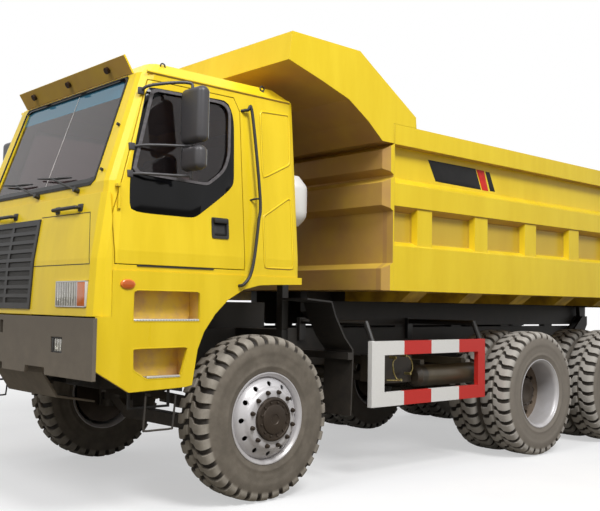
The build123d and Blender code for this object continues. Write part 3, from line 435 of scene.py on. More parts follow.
def disc_grids(dish, seat_x, hole_at, hole_r, bore, *wheel):
    """The wheel's disc: a plain foot, the ring with the hand holes and a plain rim, front and back."""
    dish = dish + (0, seat_x)
    low, high = hole_at - hole_r - 16, hole_at + hole_r + 16
    made = [holed_ring(dish, low, high, hole_at, hole_r, *wheel)]
    for r0, r1 in ((bore, low), (high, 326)):
        radius = np.linspace(r0, r1, 10)
        level = np.interp(radius, dish[:, 0], dish[:, 1])
        back = np.stack((level - DISC_MM, radius), -1)[::-1]
        made.append(turned_ring(np.vstack((back, np.stack((level, radius), -1))), *wheel))
    return made


rear_disc_paint = painted("dusty_brown_wheel_disc", "#5A4C3F", "#8A7B68", (0.25, 1.1, 0.6), (14, 0.4, 5.0),
                          Roughness=0.6)
for side, hand in SIDES:
    wheel = (side * SINGLE_X, FRONT_AXLE_Y, side)
    body = f"wheel_front_{hand}"
    rim = [turned_ring(RIM_BARREL, *wheel)] + disc_grids(FRONT_DISH, 212, 270, 20, 150, *wheel)
    made = shell(f"front_rim_{hand}", rim, body, silver_enamel, 35)
    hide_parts(f"rim_front_{hand}")
    drum = [(-130, 60.3), (-130, 296), (94, 296), (102, 288), (102, 178), (150, 178), (150, 60.3)]
    cap = [(140, 60.3), (140, 172), (228, 172), (238, 168), (242, 160), (242, 150), (236, 146), (236, 118),
           (244, 114), (248, 104), (248, 40), (244, 36), (244, 0.3), (160, 0.3)]
    hub = [turned_ring(profile, *wheel) for profile in (drum, cap)]
    hub += nuts(211, 12, 214, *wheel, 15, 26, 34) + nuts(132, 12, 236, *wheel, 8, 8, 9)
    shell(f"front_hub_{hand}", hub, body, cast_hub, 35)
    for axle, y in (("fore", FORE_AXLE_Y), ("aft", AFT_AXLE_Y)):
        body = f"wheel_{axle}_{hand}"
        wheel = (side * OUTER_X, y, side)
        rims = [turned_ring(RIM_BARREL, side * x, y, side) for x in (OUTER_X, INNER_X)]
        made = shell(f"{axle}_rims_{hand}", rims, body, silver_enamel, 35)
        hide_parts(f"rims_{axle}_{hand}")
        disc = disc_grids(REAR_DISH, -105, 262, 22, 84, *wheel)
        shell(f"{axle}_disc_{hand}", disc, body, rear_disc_paint, 35)
        drum = [(-505, 60.3), (-505, 240), (-296, 240), (-296, 333), (-120, 333), (-120, 60.3)]
        cap = [(-122, 60.3), (-122, 150), (-30, 150), (-20, 144), (-16, 128), (-13, 120), (-13, 70),
               (-17, 62), (-17, 0.3), (-60, 0.3)]
        hub = [turned_ring(profile, *wheel) for profile in (drum, cap)]
        hub += nuts(200, 12, -107, *wheel) + nuts(133, 10, -19, *wheel, 7, 7, 8)
        shell(f"{axle}_hubs_{hand}", hub, body, cast_hub, 35)

# Bumper
# A deep bumper of thick folded plate, sprayed in a grey stone-chip coat. The coat is dull and
# pebbled, a little paler where dust sits in it.

stone_chip = painted("grey_stone_chip_coat", "#645C51", "#8C8171", (0.9, 1.5, 0.55), (12, 1.0, 4.0, 0.008),
                     Roughness=0.7)
wear(stone_chip, "bumper")

# Cab, front panel and skirts
# Spot-welded steel sheet in gloss yellow enamel. The enamel is smooth with a faint orange peel,
# a shade deeper in streaks, dusty below the sills and painted brown as shade where it faces down.


def inside(tree, *tests):
    """1 where each value is past or short of its limit and else 0: the product of the tests."""
    share = None
    for value, operation, limit in tests:
        test = add(tree, "Math", value, limit, operation=operation)
        share = test if share is None else add(tree, "Math", share, test, operation="MULTIPLY")
    return share


def painted_shade(tree, colour, most, front_y=None):
    """A colour with painted brown shade where it faces down, and where it faces ahead within 0.2 m of a Y."""
    spot = add(tree, "TexCoord").outputs
    way = add(tree, "SeparateXYZ", spot["Normal"]).outputs
    share = add(tree, "MapRange", way[2], -0.15, -0.6, 0.0, most)
    if front_y is not None:
        faces = add(tree, "MapRange", way[1], -0.3, -0.6, 0.0, most)
        along = add(tree, "SeparateXYZ", spot["Object"]).outputs[1]
        wall = add(tree, "Math", along, front_y, 0.20, operation="COMPARE")
        faces = add(tree, "Math", faces, wall, operation="MULTIPLY")
        share = add(tree, "Math", share, faces, operation="MAXIMUM")
    # The painted shade is uneven, from three quarters to all of its share.
    shade_mottle = add(tree, "TexNoise", spot["Object"], Scale=3.0, Detail=5.0)
    shade_mottle = add(tree, "MapRange", shade_mottle, 0.3, 0.7, 0.75, 1.0)
    return between(tree, add(tree, "Math", share, shade_mottle, operation="MULTIPLY"), colour, "#A67A58")


def sprayed_sheet(name, rung=False):
    """Gloss yellow enamel on sheet, or on the skirts with the black strap of the rung inside them."""
    material, tree, shader, place = finish_of(name, Coat_Weight=0.08, Coat_Roughness=0.1,
                                              Specular_IOR_Level=0.25)
    stretch = add(tree, "Mapping", place, Scale=(3.0, 3.0, 0.5))
    streak = add(tree, "TexNoise", stretch, Scale=2.2, Detail=6.0, Roughness=0.6)
    sprayed = between(tree, streak, "#EBCA1E", "#F3D32A", 0.3, 0.72)
    # Painted shade: the enamel turns brown where it faces down.
    colour = painted_shade(tree, dusty(tree, sprayed, "#C09C38", 0.4, 2.0, 0.20), 0.85)
    if rung:
        part = add(tree, "SeparateXYZ", place).outputs
        aside = add(tree, "Math", part[0], operation="ABSOLUTE")
        strap = inside(tree, (aside, "LESS_THAN", 1.360), (part[2], "LESS_THAN", 0.9845))
        colour = between(tree, strap, colour, "#1B1A19")
    fill(shader, Base_Color=colour, Roughness=add(tree, "MapRange", streak, 0.2, 0.8, 0.26, 0.4))
    grained(tree, shader, 28, 0.12, edge=0.006)
    return material


yellow_enamel = sprayed_sheet("gloss_yellow_enamel")
wear(yellow_enamel, "cab_shell", "cab_front", "door", "side_deck", "sun_visor")
wear(sprayed_sheet("gloss_yellow_enamel_over_rung", True), "step_panels")
black_moulding = painted("grained_black_moulding", "#1B1B1C", "#4A453E", (1.0, 2.6, 0.5),
                         (5, 0.25, 4.0, 0.003), Roughness=0.5)
wear(black_moulding, "grille", "dashboard")


def rounded(points, count=72, power=26.0):
    """A convex outline with rounded corners about its middle, as (count x 2) points.

    In direction u the distance is (sum over edges of max(n.u / d, 0) ** power) ** (-1 / power),
    for each edge's outward normal n and its distance d from the middle.
    """
    points = np.asarray(points, float)
    middle = points.mean(0)
    edge = np.roll(points, -1, 0) - points
    normal = np.stack((edge[:, 1], -edge[:, 0]), -1) / np.hypot(*edge.T)[:, None]
    distance = ((points - middle) * normal).sum(1)
    normal, distance = normal * np.sign(distance)[:, None], np.abs(distance)
    turn = circle(count)
    heading = np.stack((np.cos(turn), np.sin(turn)), -1)
    pull = (np.clip(heading @ normal.T / distance, 0, None) ** power).sum(1) ** (-1 / power)
    return middle + heading * pull[:, None]


CAB_MIDDLE_X = 0.280


def side_of_cab(y, z, lift):
    """A point lift outside the cab's left wall, which leans in above its waist."""
    half = np.interp(z, (1.900, 2.385, 3.215), (1.140, 1.099, 1.028))
    return np.stack((CAB_MIDDLE_X + half + lift + 0 * y, y, z), -1)


def front_of_cab(x, z, lift):
    """A point lift ahead of the front panel, or of the windscreen's plane above it."""
    low = np.interp(z, (1.440, 1.840, 2.300), (-4.180, -4.155, -4.085))
    high = np.interp(z, (1.900, 2.385, 3.215), (-4.105, -4.060, -3.775))
    return np.stack((x, np.where(z < 2.300, low, high) - lift, z), -1)


def band(outer, inner, surface, foot, top):
    """A flat ring between two outlines with as many points, from foot to top above a surface."""
    rows = ((0.0, foot), (0.02, top), (0.96, top), (1.0, foot))
    rings = [surface(*(outer * (1 - s) + inner * s).T, np.full(len(outer), lift)) for s, lift in rows]
    return np.stack(rings), True, True


def cover(outline, surface, foot, top):
    """A filled plate in an outline's shape, from foot to top above a surface, closed at both middles."""
    middle = outline.mean(0)
    rows = ((0.0, foot), (0.5, foot), (1.0, foot), (1.0, (foot + top) / 2), (0.985, top), (0.5, top),
            (0.0, top))
    rings = [surface(*(middle + (outline - middle) * s).T, np.full(len(outline), lift)) for s, lift in rows]
    return np.stack(rings), False, True


def pipe(path, radius, sides=12, steps=6, closed=False):
    """A round bar carried along a smooth path through points; rings stand square to its direction."""
    path = np.asarray(path, float)
    ends = (path[-1:], path[:2]) if closed else (2 * path[:1] - path[1:2], 2 * path[-1:] - path[-2:-1])
    p = np.vstack((ends[0], path, ends[1]))
    spans = len(p) - 3
    t = np.arange(spans * steps + (0 if closed else 1)) / steps
    k = np.minimum(t.astype(int), spans - 1)
    u = (t - k)[:, None]
    a, b, c, d = p[k], p[k + 1], p[k + 2], p[k + 3]
    bend, twist = 2 * a - 5 * b + 4 * c - d, 3 * b - a - 3 * c + d
    line = 0.5 * (2 * b + (c - a) * u + bend * u ** 2 + twist * u ** 3)
    along = np.gradient(line, axis=0)
    if closed:
        along = np.roll(line, -1, 0) - np.roll(line, 1, 0)
    along /= np.linalg.norm(along, axis=1)[:, None]
    spread = np.eye(3)[np.argmin(np.abs(along).max(0))]
    one = np.cross(along, spread)
    one /= np.linalg.norm(one, axis=1)[:, None]
    two = np.cross(along, one)
    turn = circle(sides)[:, None]
    rings = line[:, None] + radius * (np.cos(turn) * one[:, None] + np.sin(turn) * two[:, None])
    if closed:
        return rings, True, True
    cap = lambda i: np.repeat(line[i][None, None], sides, 1)
    return np.concatenate((cap(0), rings, cap(-1))), False, True


def block(low, high, radius=0.004, turns=4):
    """A box with rounded edges between two opposite corners, in any order.

    A point is a ball's point x the radius, moved out its own way by half the size less the radius.
    """
    low, high = np.minimum(low, high), np.maximum(low, high)
    middle, half = (low + high) / 2, (high - low) / 2
    radius = min(radius, half.min() * 0.98)
    quarter = (np.arange(turns) / (turns - 1)) * pi / 2
    turn = np.concatenate([quarter + i * pi / 2 for i in range(4)])
    tip = np.concatenate((quarter - pi / 2, quarter))
    ball = np.stack((np.outer(np.cos(tip), np.cos(turn)), np.outer(np.cos(tip), np.sin(turn)),
                     np.outer(np.sin(tip), np.ones(turn.size))), -1)
    way = np.stack((np.tile(np.repeat((1, -1, -1, 1), turns), (tip.size, 1)),
                    np.tile(np.repeat((1, 1, -1, -1), turns), (tip.size, 1)),
                    np.repeat(np.repeat((-1, 1), turns)[:, None], turn.size, 1)), -1)
    skin = middle + way * (half - radius) + ball * radius
    pole = lambda s: np.repeat((middle + (0, 0, s * half[2]))[None, None], turn.size, 1)
    return np.concatenate((pole(-1), skin, pole(1))), False, True


# The windows are bonded: a gloss black border is fired on round the glass, and a soft rubber lip
# fills the gap to the sheet. It hides the cut edge of the opening.

black_border = mottled("fired_black_glass_border", "#060607", "#0B0B0D", 3.0, 2.0, Roughness=0.12,
                       Specular_IOR_Level=0.25)
rubber_lip = mottled("matt_rubber_lip", "#1D1C1B", "#2E2C2A", 40.0, Roughness=0.75)
grey_lip = mottled("weathered_grey_rubber_lip", "#4F4C4D", "#666264", 40.0, Roughness=0.7)


def right_of_cab(y, z, lift):
    """A point lift outside the cab's right wall."""
    return side_of_cab(y, z, lift) * (-1, 1, 1) + (2 * CAB_MIDDLE_X, 0, 0)


def rear_of_cab(x, z, lift):
    """A point on the cab's rear wall, its lift counted towards the tail."""
    return np.stack((x, -2.310 + lift + 0 * x, z), -1)


frame_out = rounded([(-3.911, 2.447), (-3.916, 2.184), (-3.873, 2.170), (-3.361, 2.170), (-3.033, 2.403),
                     (-2.985, 2.456), (-2.961, 2.995), (-3.020, 3.118), (-3.752, 3.098)], 96, 34)
pane_out = rounded([(-3.872, 2.462), (-3.500, 2.442), (-3.245, 2.437), (-3.088, 2.556), (-3.032, 2.676),
                    (-3.010, 3.034), (-3.064, 3.088), (-3.700, 3.078)], 96, 30)
lip_out = pane_out + (pane_out - pane_out.mean(0)) * 0.05
lip_in = pane_out * 0.985 + pane_out.mean(0) * 0.015
screen_out = rounded([(-0.592, 2.368), (1.152, 2.368), (1.117, 3.208), (-0.557, 3.208)], 120, 70)
screen_lip = rounded([(-0.582, 2.392), (1.142, 2.392), (1.107, 3.197), (-0.547, 3.197)], 120, 60)
screen_in = rounded([(-0.568, 2.424), (1.128, 2.424), (1.094, 3.183), (-0.534, 3.183)], 120, 46)
right_out = rounded([(-3.812, 2.448), (-2.588, 2.448), (-2.628, 3.092), (-3.628, 3.092)], 72, 40)
right_in = rounded([(-3.765, 2.490), (-2.640, 2.490), (-2.675, 3.050), (-3.605, 3.050)], 72, 30)
rear_out = rounded([(-0.385, 2.500), (0.945, 2.500), (0.905, 3.100), (-0.345, 3.100)], 72, 40)
rear_in = rounded([(-0.335, 2.545), (0.895, 2.545), (0.860, 3.050), (-0.300, 3.050)], 72, 30)
for name, outer, inner, surface, foot, top, body, material in (
    ("door_window_border", frame_out, pane_out, side_of_cab, 0.0003, 0.003, "door", black_border),
    ("door_window_lip", lip_out, lip_in, side_of_cab, 0.0003, 0.009, "door", grey_lip),
    ("screen_lip", screen_out, screen_lip, front_of_cab, 0.0003, 0.007, "chassis", rubber_lip),
    ("screen_border", screen_lip, screen_in, front_of_cab, -0.010, 0.003, "chassis", black_border),
    ("right_window_border", right_out, right_in, right_of_cab, 0.0003, 0.003, "chassis", black_border),
    ("rear_window_border", rear_out, rear_in, rear_of_cab, 0.0003, 0.003, "chassis", black_border),
):
    shell(name, [band(outer, inner, surface, foot, top)], body, material)

# Laminated and toughened glass, faintly grey, with a teal shade strip across the windscreen's top.

tinted_glass, tree, shader, place = finish_of("grey_tinted_safety_glass", Roughness=0.02, IOR=1.45)
part = add(tree, "SeparateXYZ", place).outputs
strip = inside(tree, (part[2], "GREATER_THAN", 3.048), (part[1], "LESS_THAN", -3.70))
fill(shader, Base_Color=between(tree, strip, "#7B6C6D", "#4C86A0"),
     Transmission_Weight=add(tree, "MapRange", strip, 0.0, 1.0, 0.97, 0.35))
wear(tinted_glass, "cab_glass", "door_glass")

# Cab fittings
# Stone screen, seams of the front's hatch, sill strip, pull handles, grab rail and wipers. Bars are
# bent steel tube dipped in black plastic, and seams are rubber strip pressed into the joint.


def ended(grid):
    """The grid with its first and last column drawn together at their middles, which closes a tube."""
    ends = [np.repeat(grid[:, i].mean(0)[None, None], len(grid), 0) for i in (0, -1)]
    return np.hstack((ends[0], grid, ends[1]))


def seam(points, surface, width=0.006, lift=0.0012):
    """A flat strip along a line of (a, b) points on a surface."""
    points = np.asarray(points, float)
    along = np.gradient(points, axis=0)
    aside = np.stack((-along[:, 1], along[:, 0]), -1) / np.hypot(*along.T)[:, None] * width / 2
    rows = ((aside, 0.0002), (aside, lift), (-aside, lift), (-aside, 0.0002))
    return ended(np.stack([surface(*(points + a).T, np.full(len(points), h)) for a, h in rows])), True, False


def run(a, b, count=10):
    """Evenly spaced points from a to b."""
    return np.linspace(a, b, count)


def webbed(name, ways, operation, spacing, colours, bump, **values):
    """Wires or threads crossing at a real spacing: a colour and a bump from two waves, as they meet."""
    material, tree, shader, place = finish_of(name, **values)
    waves = [add(tree, "TexWave", place, bands_direction=way, Scale=pi / spacing / 10).outputs["Fac"]
             for way in ways]
    woven = add(tree, "Math", *waves, operation=operation)
    fill(shader, Base_Color=between(tree, woven, *colours),
         Normal=add(tree, "Bump", Strength=bump[0], Distance=bump[1], Height=woven))
    return material


# Behind the grille's bars the panel is closed by a woven screen against stones, coloured near
# black as painted shade in the grille's openings. Its wires stand 10 mm apart, coarser than they
# are, so that they show.

stone_screen = webbed("dark_wire_stone_screen", "XZ", "MAXIMUM", 0.010, ("#0A0908", "#26221D", 0.5, 0.95),
                      (0.6, 0.002), Roughness=0.6)
screens = []
for z0, z1 in ((1.492, 1.8395), (1.8405, 2.148)):
    outline = rounded([(-0.438, z0), (0.438, z0), (0.438, z1), (-0.438, z1)], 64, 60)
    screens.append(cover(outline, front_of_cab, 0.0006, 0.003))
shell("grille_stone_screen", screens, "chassis", stone_screen)

hatch = []
joints = np.array([[(0.452, 2.172), (1.192, 2.166)], [(1.192, 2.166), (1.296, 1.800)],
                   [(0.452, 1.800), (1.296, 1.800)]])
for s in (1, -1):
    hatch += [seam(run(*(line * (s, 1)))[::s], front_of_cab) for line in joints]
shell("hatch_seams", hatch, "chassis", rubber_lip)
sill = [seam(run((-3.200, 1.797), (-3.860, 1.797)), side_of_cab, 0.010, 0.006)]
shell("door_sill_strip", sill, "chassis", rubber_lip)

bars = []
y, z = -4.100, 2.208
for x0, x1 in ((0.690, 1.060), (-0.370, 0.000), (-1.060, -0.690)):
    a, b, middle = x0 + 0.015, x1 - 0.015, (x0 + x1) / 2
    bars.append(pipe([(a, y, z), (a, y - 0.034, z), (x0 + 0.03, y - 0.046, z), (middle, y - 0.048, z),
                      (x1 - 0.03, y - 0.046, z), (b, y - 0.034, z), (b, y, z)], 0.014))
    for x in (a, b):
        bars.append(block((x - 0.03, y - 0.012, z - 0.028), (x + 0.03, y + 0.01, z + 0.028), 0.008))
shell("front_pull_handles", bars, "chassis", black_moulding)

rail = [(1.318, -2.883, 3.060), (1.360, -2.850, 3.066), (1.376, -2.818, 3.045), (1.440, -2.775, 2.375),
        (1.455, -2.800, 2.170), (1.468, -2.845, 1.900), (1.470, -2.885, 1.760), (1.466, -2.945, 1.690),
        (1.430, -2.960, 1.680)]
stay = [(1.370, -2.830, 2.350), (1.405, -2.806, 2.362), (1.441, -2.777, 2.366)]
rails = [pipe(rail, 0.0125, 12, 8), pipe(stay, 0.008)]
shell("cab_grab_rail", rails, "chassis", black_moulding)

wipers = []
out = np.array((0.0, -1.0, 0.34))
for points in (
    ((0.935, 2.338), (0.490, 2.466), (0.200, 2.500), (0.780, 2.452)),
    ((0.300, 2.345), (-0.160, 2.474), (-0.450, 2.506), (0.130, 2.462)),
):
    pivot, knee, one, two = (front_of_cab(np.array(x), np.array(z), 0.0) for x, z in points)
    arm = [pivot, pivot + out * 0.032, pivot + (knee - pivot) * 0.45 + out * 0.034, knee + out * 0.022]
    frame_bar = [one + out * 0.010, one + (knee - one) * 0.5 + out * 0.020, knee + out * 0.024,
                 knee + (two - knee) * 0.5 + out * 0.020, two + out * 0.010]
    blade = [point + out * 0.008 for point in (one, knee, two)]
    cap = [pivot + out * high for high in (0.0, 0.020, 0.040)]
    wipers += [pipe(arm, 0.007, 10), pipe(frame_bar, 0.006, 8), pipe(blade, 0.004, 8), pipe(cap, 0.019, 16)]
shell("wipers", wipers, "chassis", black_moulding)

# Two small rubber buffers stand on the corner post, and a pale sealed joint runs up the screen.

buffers = []
for x, z in ((1.226, 2.804), (1.214, 2.468)):
    foot = front_of_cab(np.array(x), np.array(z), -0.004)
    buffers.append(pipe([foot + step for step in ((0, 0, 0), (0.003, -0.012, 0.004), (0.006, -0.024, 0.008))],
                        0.011, 14, 3))
shell("corner_post_buffers", buffers, "chassis", rubber_lip)
pale_sealant = mottled("pale_silicone_sealant", "#B9B4B1", "#D6D2CF", 12.0, Roughness=0.5)
on_glass = lambda x, z, lift: front_of_cab(x, z, lift - 0.0142)
joint = seam(run((0.345, 2.425), (0.365, 3.176)), on_glass, 0.006, 0.003)
shell("screen_joint", [joint], "chassis", pale_sealant)

# Mirrors
# Each mirror is a blow-moulded grey shell with a silvered glass let into its rear face. The heads
# are clamped to a bent steel tube, held to the door by feet, and on the right to a post on the deck.

mirror_moulding = painted("grey_blow_moulded_shell", "#3C3B3E", "#6E6862", (1.6, 3.2, 0.45), (5, 0.2, 4.0),
                          Roughness=0.42)
mirror_glass = mottled("silvered_mirror_glass", "#D5D8DA", "#C6C9CA", 30.0, low=0.35, Metallic=1.0,
                       Roughness=0.04)
MIRROR_Y, TUBE_X = -3.480, 1.504
for side, hand, body in ((1, "left", "door"), (-1, "right", "chassis")):
    heads, panes = [], []
    for x0, x1, z0, z1 in ((1.408, 1.670, 2.692, 3.098), (1.420, 1.655, 2.494, 2.672)):
        heads.append(block((side * x0, MIRROR_Y - 0.052, z0), (side * x1, MIRROR_Y + 0.046, z1), 0.044, 7))
        panes.append(block((side * (x0 + 0.028), MIRROR_Y + 0.0465, z0 + 0.028),
                           (side * (x1 - 0.028), MIRROR_Y + 0.0495, z1 - 0.028), 0.0014))
    shell(f"mirror_panes_{hand}", panes, body, mirror_glass)
    arms = [pipe([(side * TUBE_X, MIRROR_Y, z) for z in (2.440, 2.700, 2.960)], 0.013)]
    if side > 0:
        for path, radius in (
            ([(1.312, -3.800, 3.058), (1.372, -3.765, 3.092), (1.440, -3.600, 3.132), (1.488, -3.492, 3.138),
              (1.500, -3.480, 3.100), (1.502, -3.480, 3.040)], 0.0115),
            ([(1.346, -3.885, 2.640), (1.400, -3.770, 2.660), (1.470, -3.530, 2.676),
              (1.500, -3.482, 2.680)], 0.010),
            ([(1.364, -3.905, 2.442), (1.420, -3.800, 2.448), (1.480, -3.540, 2.456),
              (1.504, -3.480, 2.462)], 0.0105),
        ):
            arms.append(pipe(path, radius))
        for x, y, z in ((1.322, -3.802, 3.058), (1.356, -3.888, 2.640), (1.374, -3.908, 2.442)):
            arms.append(block((x - 0.016, y - 0.022, z - 0.026), (x + 0.010, y + 0.022, z + 0.026), 0.006))
    else:
        arms.append(pipe([(-1.400, -3.800, z) for z in (2.3005, 2.390, 2.480)], 0.016))
        arms.append(pipe([(-1.400, -3.800, 2.455), (-1.440, -3.690, 2.458), (-1.504, -3.480, 2.462)], 0.0105))
        arms.append(block((-1.430, -3.830, 2.3003), (-1.386, -3.770, 2.310), 0.004))
    made = shell(f"mirror_heads_{hand}", heads + arms, body, mirror_moulding)
    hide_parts(f"mirror_{hand}")

# Lamps
# Headlamps are a clear fluted lens over two pressed reflectors, with an amber indicator beside
# them. Fog lamps sit in the bumper, amber markers on the skirts, and tail lamps on the last member.


def lens_of(name, colour, deep, through, pitch=0.009):
    """Moulded lens plastic: flutes a pitch apart across it, and a colour that deepens between them."""
    material, tree, shader, place = finish_of(name, Transmission_Weight=through, Roughness=0.06, IOR=1.49)
    flutes = add(tree, "TexWave", place, bands_direction="X", Scale=pi / pitch / 10).outputs["Fac"]
    fill(shader, Base_Color=between(tree, flutes, colour, deep, 0.2, 0.8),
         Normal=add(tree, "Bump", Strength=0.6, Distance=0.002, Height=flutes))
    return material


lamp_finish = {
    "bezels": silver_enamel,
    "housings": black_moulding,
    "reflectors": mottled("aluminised_reflector", "#E4E6E8", "#F1F2F3", 60.0, 2.0, Metallic=1.0,
                          Roughness=0.25),
    "clear_lenses": lens_of("clear_fluted_lens", "#FFFDF6", "#B4B0A4", 0.6, 0.036),
    "amber_lenses": lens_of("amber_fluted_lens", "#F08432", "#D2641F", 0.15),
    "red_lenses": lens_of("red_fluted_lens", "#C2201A", "#8E120E", 0.25),
}


def bowl(x, y, z, radius, deep, wide=1.0):
    """A reflector 2 mm thick, open to the front: its depth is deep x (1 - (r / radius) ** 2)."""
    r, turn = np.linspace(1.0, 0.0, 12)[:, None], circle(32)
    r, depth = np.vstack((r, r[::-1])), np.vstack((deep * (1 - r ** 2), deep * (1 - r[::-1] ** 2) + 0.002))
    across, up = wide * radius * r * np.cos(turn), radius * r * np.sin(turn)
    return np.stack((x + across, y + depth + 0 * turn, z + up), -1), True, True


def oval_dome(side):
    """A skirt's marker lamp: an ellipse carried out from the skirt while its share of the size falls."""
    share, swell = np.array([(0, 0), (1, 0), (1, 0.007), (0.97, 0.009), (0.85, 0.0115), (0.6, 0.0135),
                             (0.3, 0.015), (0, 0.0152)]).T[..., None]
    around = circle(32)
    return np.stack((side * (1.4303 + swell) + 0 * around, -3.936 + 0.058 * share * np.cos(around),
                     1.666 + 0.034 * share * np.sin(around)), -1), False, True


for s, hand in SIDES:
    parts = {kind: [] for kind in lamp_finish}
    # columns: kind, then the block's span in X, Y and Z, and its edges' radius
    for kind, x0, x1, y0, y1, z0, z1, radius in (
        ("housings", 0.866, 1.299, -4.158, -4.1505, 1.501, 1.684, 0.003),
        ("bezels", 0.866, 1.299, -4.187, -4.158, 1.501, 1.510, 0.003),
        ("bezels", 0.866, 1.299, -4.187, -4.158, 1.675, 1.684, 0.003),
        ("bezels", 0.866, 0.875, -4.187, -4.158, 1.501, 1.684, 0.003),
        ("bezels", 1.290, 1.299, -4.187, -4.158, 1.501, 1.684, 0.003),
        ("bezels", 1.172, 1.184, -4.187, -4.158, 1.501, 1.684, 0.003),
        ("clear_lenses", 0.874, 1.173, -4.1865, -4.1815, 1.509, 1.676, 0.0024),
        ("amber_lenses", 1.183, 1.291, -4.1872, -4.160, 1.509, 1.676, 0.006),
        ("housings", 0.850, 1.014, -4.150, -4.1405, 1.179, 1.287, 0.003),
        ("housings", 0.850, 1.014, -4.1965, -4.150, 1.179, 1.187, 0.003),
        ("housings", 0.850, 1.014, -4.1965, -4.150, 1.279, 1.287, 0.003),
        ("housings", 0.850, 0.880, -4.1965, -4.150, 1.179, 1.287, 0.003),
        ("housings", 1.004, 1.014, -4.1965, -4.150, 1.179, 1.287, 0.003),
        ("clear_lenses", 0.881, 1.003, -4.190, -4.185, 1.188, 1.278, 0.0024),
        ("red_lenses", 0.101, 0.250, 3.6105, 3.655, 1.006, 1.104, 0.008),
        ("amber_lenses", 0.252, 0.329, 3.6105, 3.655, 1.006, 1.104, 0.008),
    ):
        parts[kind].append(block((s * x0, y0, z0), (s * x1, y1, z1), radius))
    parts["amber_lenses"].append(oval_dome(s))
    parts["reflectors"] += [bowl(s * x, -4.180, 1.5925, 0.072, 0.020) for x in (0.950, 1.098)]
    parts["reflectors"].append(bowl(s * 0.942, -4.182, 1.233, 0.046, 0.024, 1.25))
    for kind, material in lamp_finish.items():
        made = shell(f"lamp_{kind}_{hand}", parts[kind], "chassis", material)
        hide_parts("lamps")

# Door handle and cab beads
# The door's pull is a black moulded cup with a paddle. The rear quarter is stiffened by pressed
# beads, and a folded gutter runs along the roof; both are cab sheet under the same enamel.

cup = rounded([(-3.212, 2.030), (-3.052, 2.030), (-3.052, 2.190), (-3.212, 2.190)], 48, 16)
cup_in = rounded([(-3.190, 2.052), (-3.074, 2.052), (-3.074, 2.150), (-3.190, 2.150)], 48, 14)
handle = [band(cup, cup_in, side_of_cab, 0.0003, 0.007), cover(cup_in, side_of_cab, 0.0003, 0.001),
          block((1.404, -3.196, 2.146), (1.428, -3.068, 2.182), 0.006)]
shell("door_pull", handle, "door", black_moulding)


def bead(points, surface, width=0.022, height=0.006, closed=True):
    """A pressed rib along a line on a surface: across it, height x cos(pi/2 x share) lifts the sheet."""
    points = np.asarray(points, float)
    along = (np.roll(points, -1, 0) - np.roll(points, 1, 0)) if closed else np.gradient(points, axis=0)
    aside = np.stack((-along[:, 1], along[:, 0]), -1) / np.hypot(*along.T)[:, None]
    rows = []
    for share in np.linspace(-1, 1, 9):
        lift = np.full(len(points), 0.0002 + height * cos(pi / 2 * share))
        rows.append(surface(*(points + aside * share * width / 2).T, lift))
    return (np.stack(rows) if closed else ended(np.stack(rows))), True, closed


upper = rounded([(-2.690, 2.545), (-2.395, 2.690), (-2.380, 3.105), (-2.690, 3.090)], 72, 22)
lower = rounded([(-2.700, 1.830), (-2.400, 1.830), (-2.400, 2.420), (-2.700, 2.235)], 72, 22)
gutter = run((-3.752, 3.213), (-2.372, 3.213), 24)
beads = []
for surface in (side_of_cab, right_of_cab):
    beads += [bead(upper, surface), bead(lower, surface), bead(gutter, surface, 0.026, 0.012, False)]
shell("cab_pressed_beads", beads, "chassis", yellow_enamel)

# Four forged eyes on the roof's edges lift the cab. The visor's sloping underside carries three
# small round lamps, smoked dark.

eyes, turn = [], circle(16)
for x, y in ((1.238, -2.608), (1.222, -3.560), (-0.678, -2.608), (-0.662, -3.560)):
    ring = np.stack((x + 0 * turn, y + 0.020 * np.cos(turn), 3.302 + 0.020 * np.sin(turn)), -1)
    eyes.append(pipe(ring, 0.0055, 10, 2, True))
    eyes.append(block((x - 0.012, y - 0.012, 3.262), (x + 0.012, y + 0.012, 3.288), 0.003))
shell("roof_lifting_eyes", eyes, "chassis", forged_steel)
smoked_lens = mottled("smoked_lens", "#2A1A12", "#3B261A", 50.0, 2.0, Roughness=0.15)
slope = np.array((0.0, 0.840, 0.542))
spots = [pipe([(x, -3.829, 3.284) - slope * deep for deep in (0.0, 0.010, 0.022)], 0.026, 20, 3)
         for x in (-0.330, CAB_MIDDLE_X, 0.890)]
shell("visor_lamps", spots, "chassis", smoked_lens)

# Steps
# Each step in the skirt has a bright pressed tread, rolled aluminium with raised teeth, whose nose
# shows along the opening's lower edge. The hanging rung below is a bent bar in chassis black.

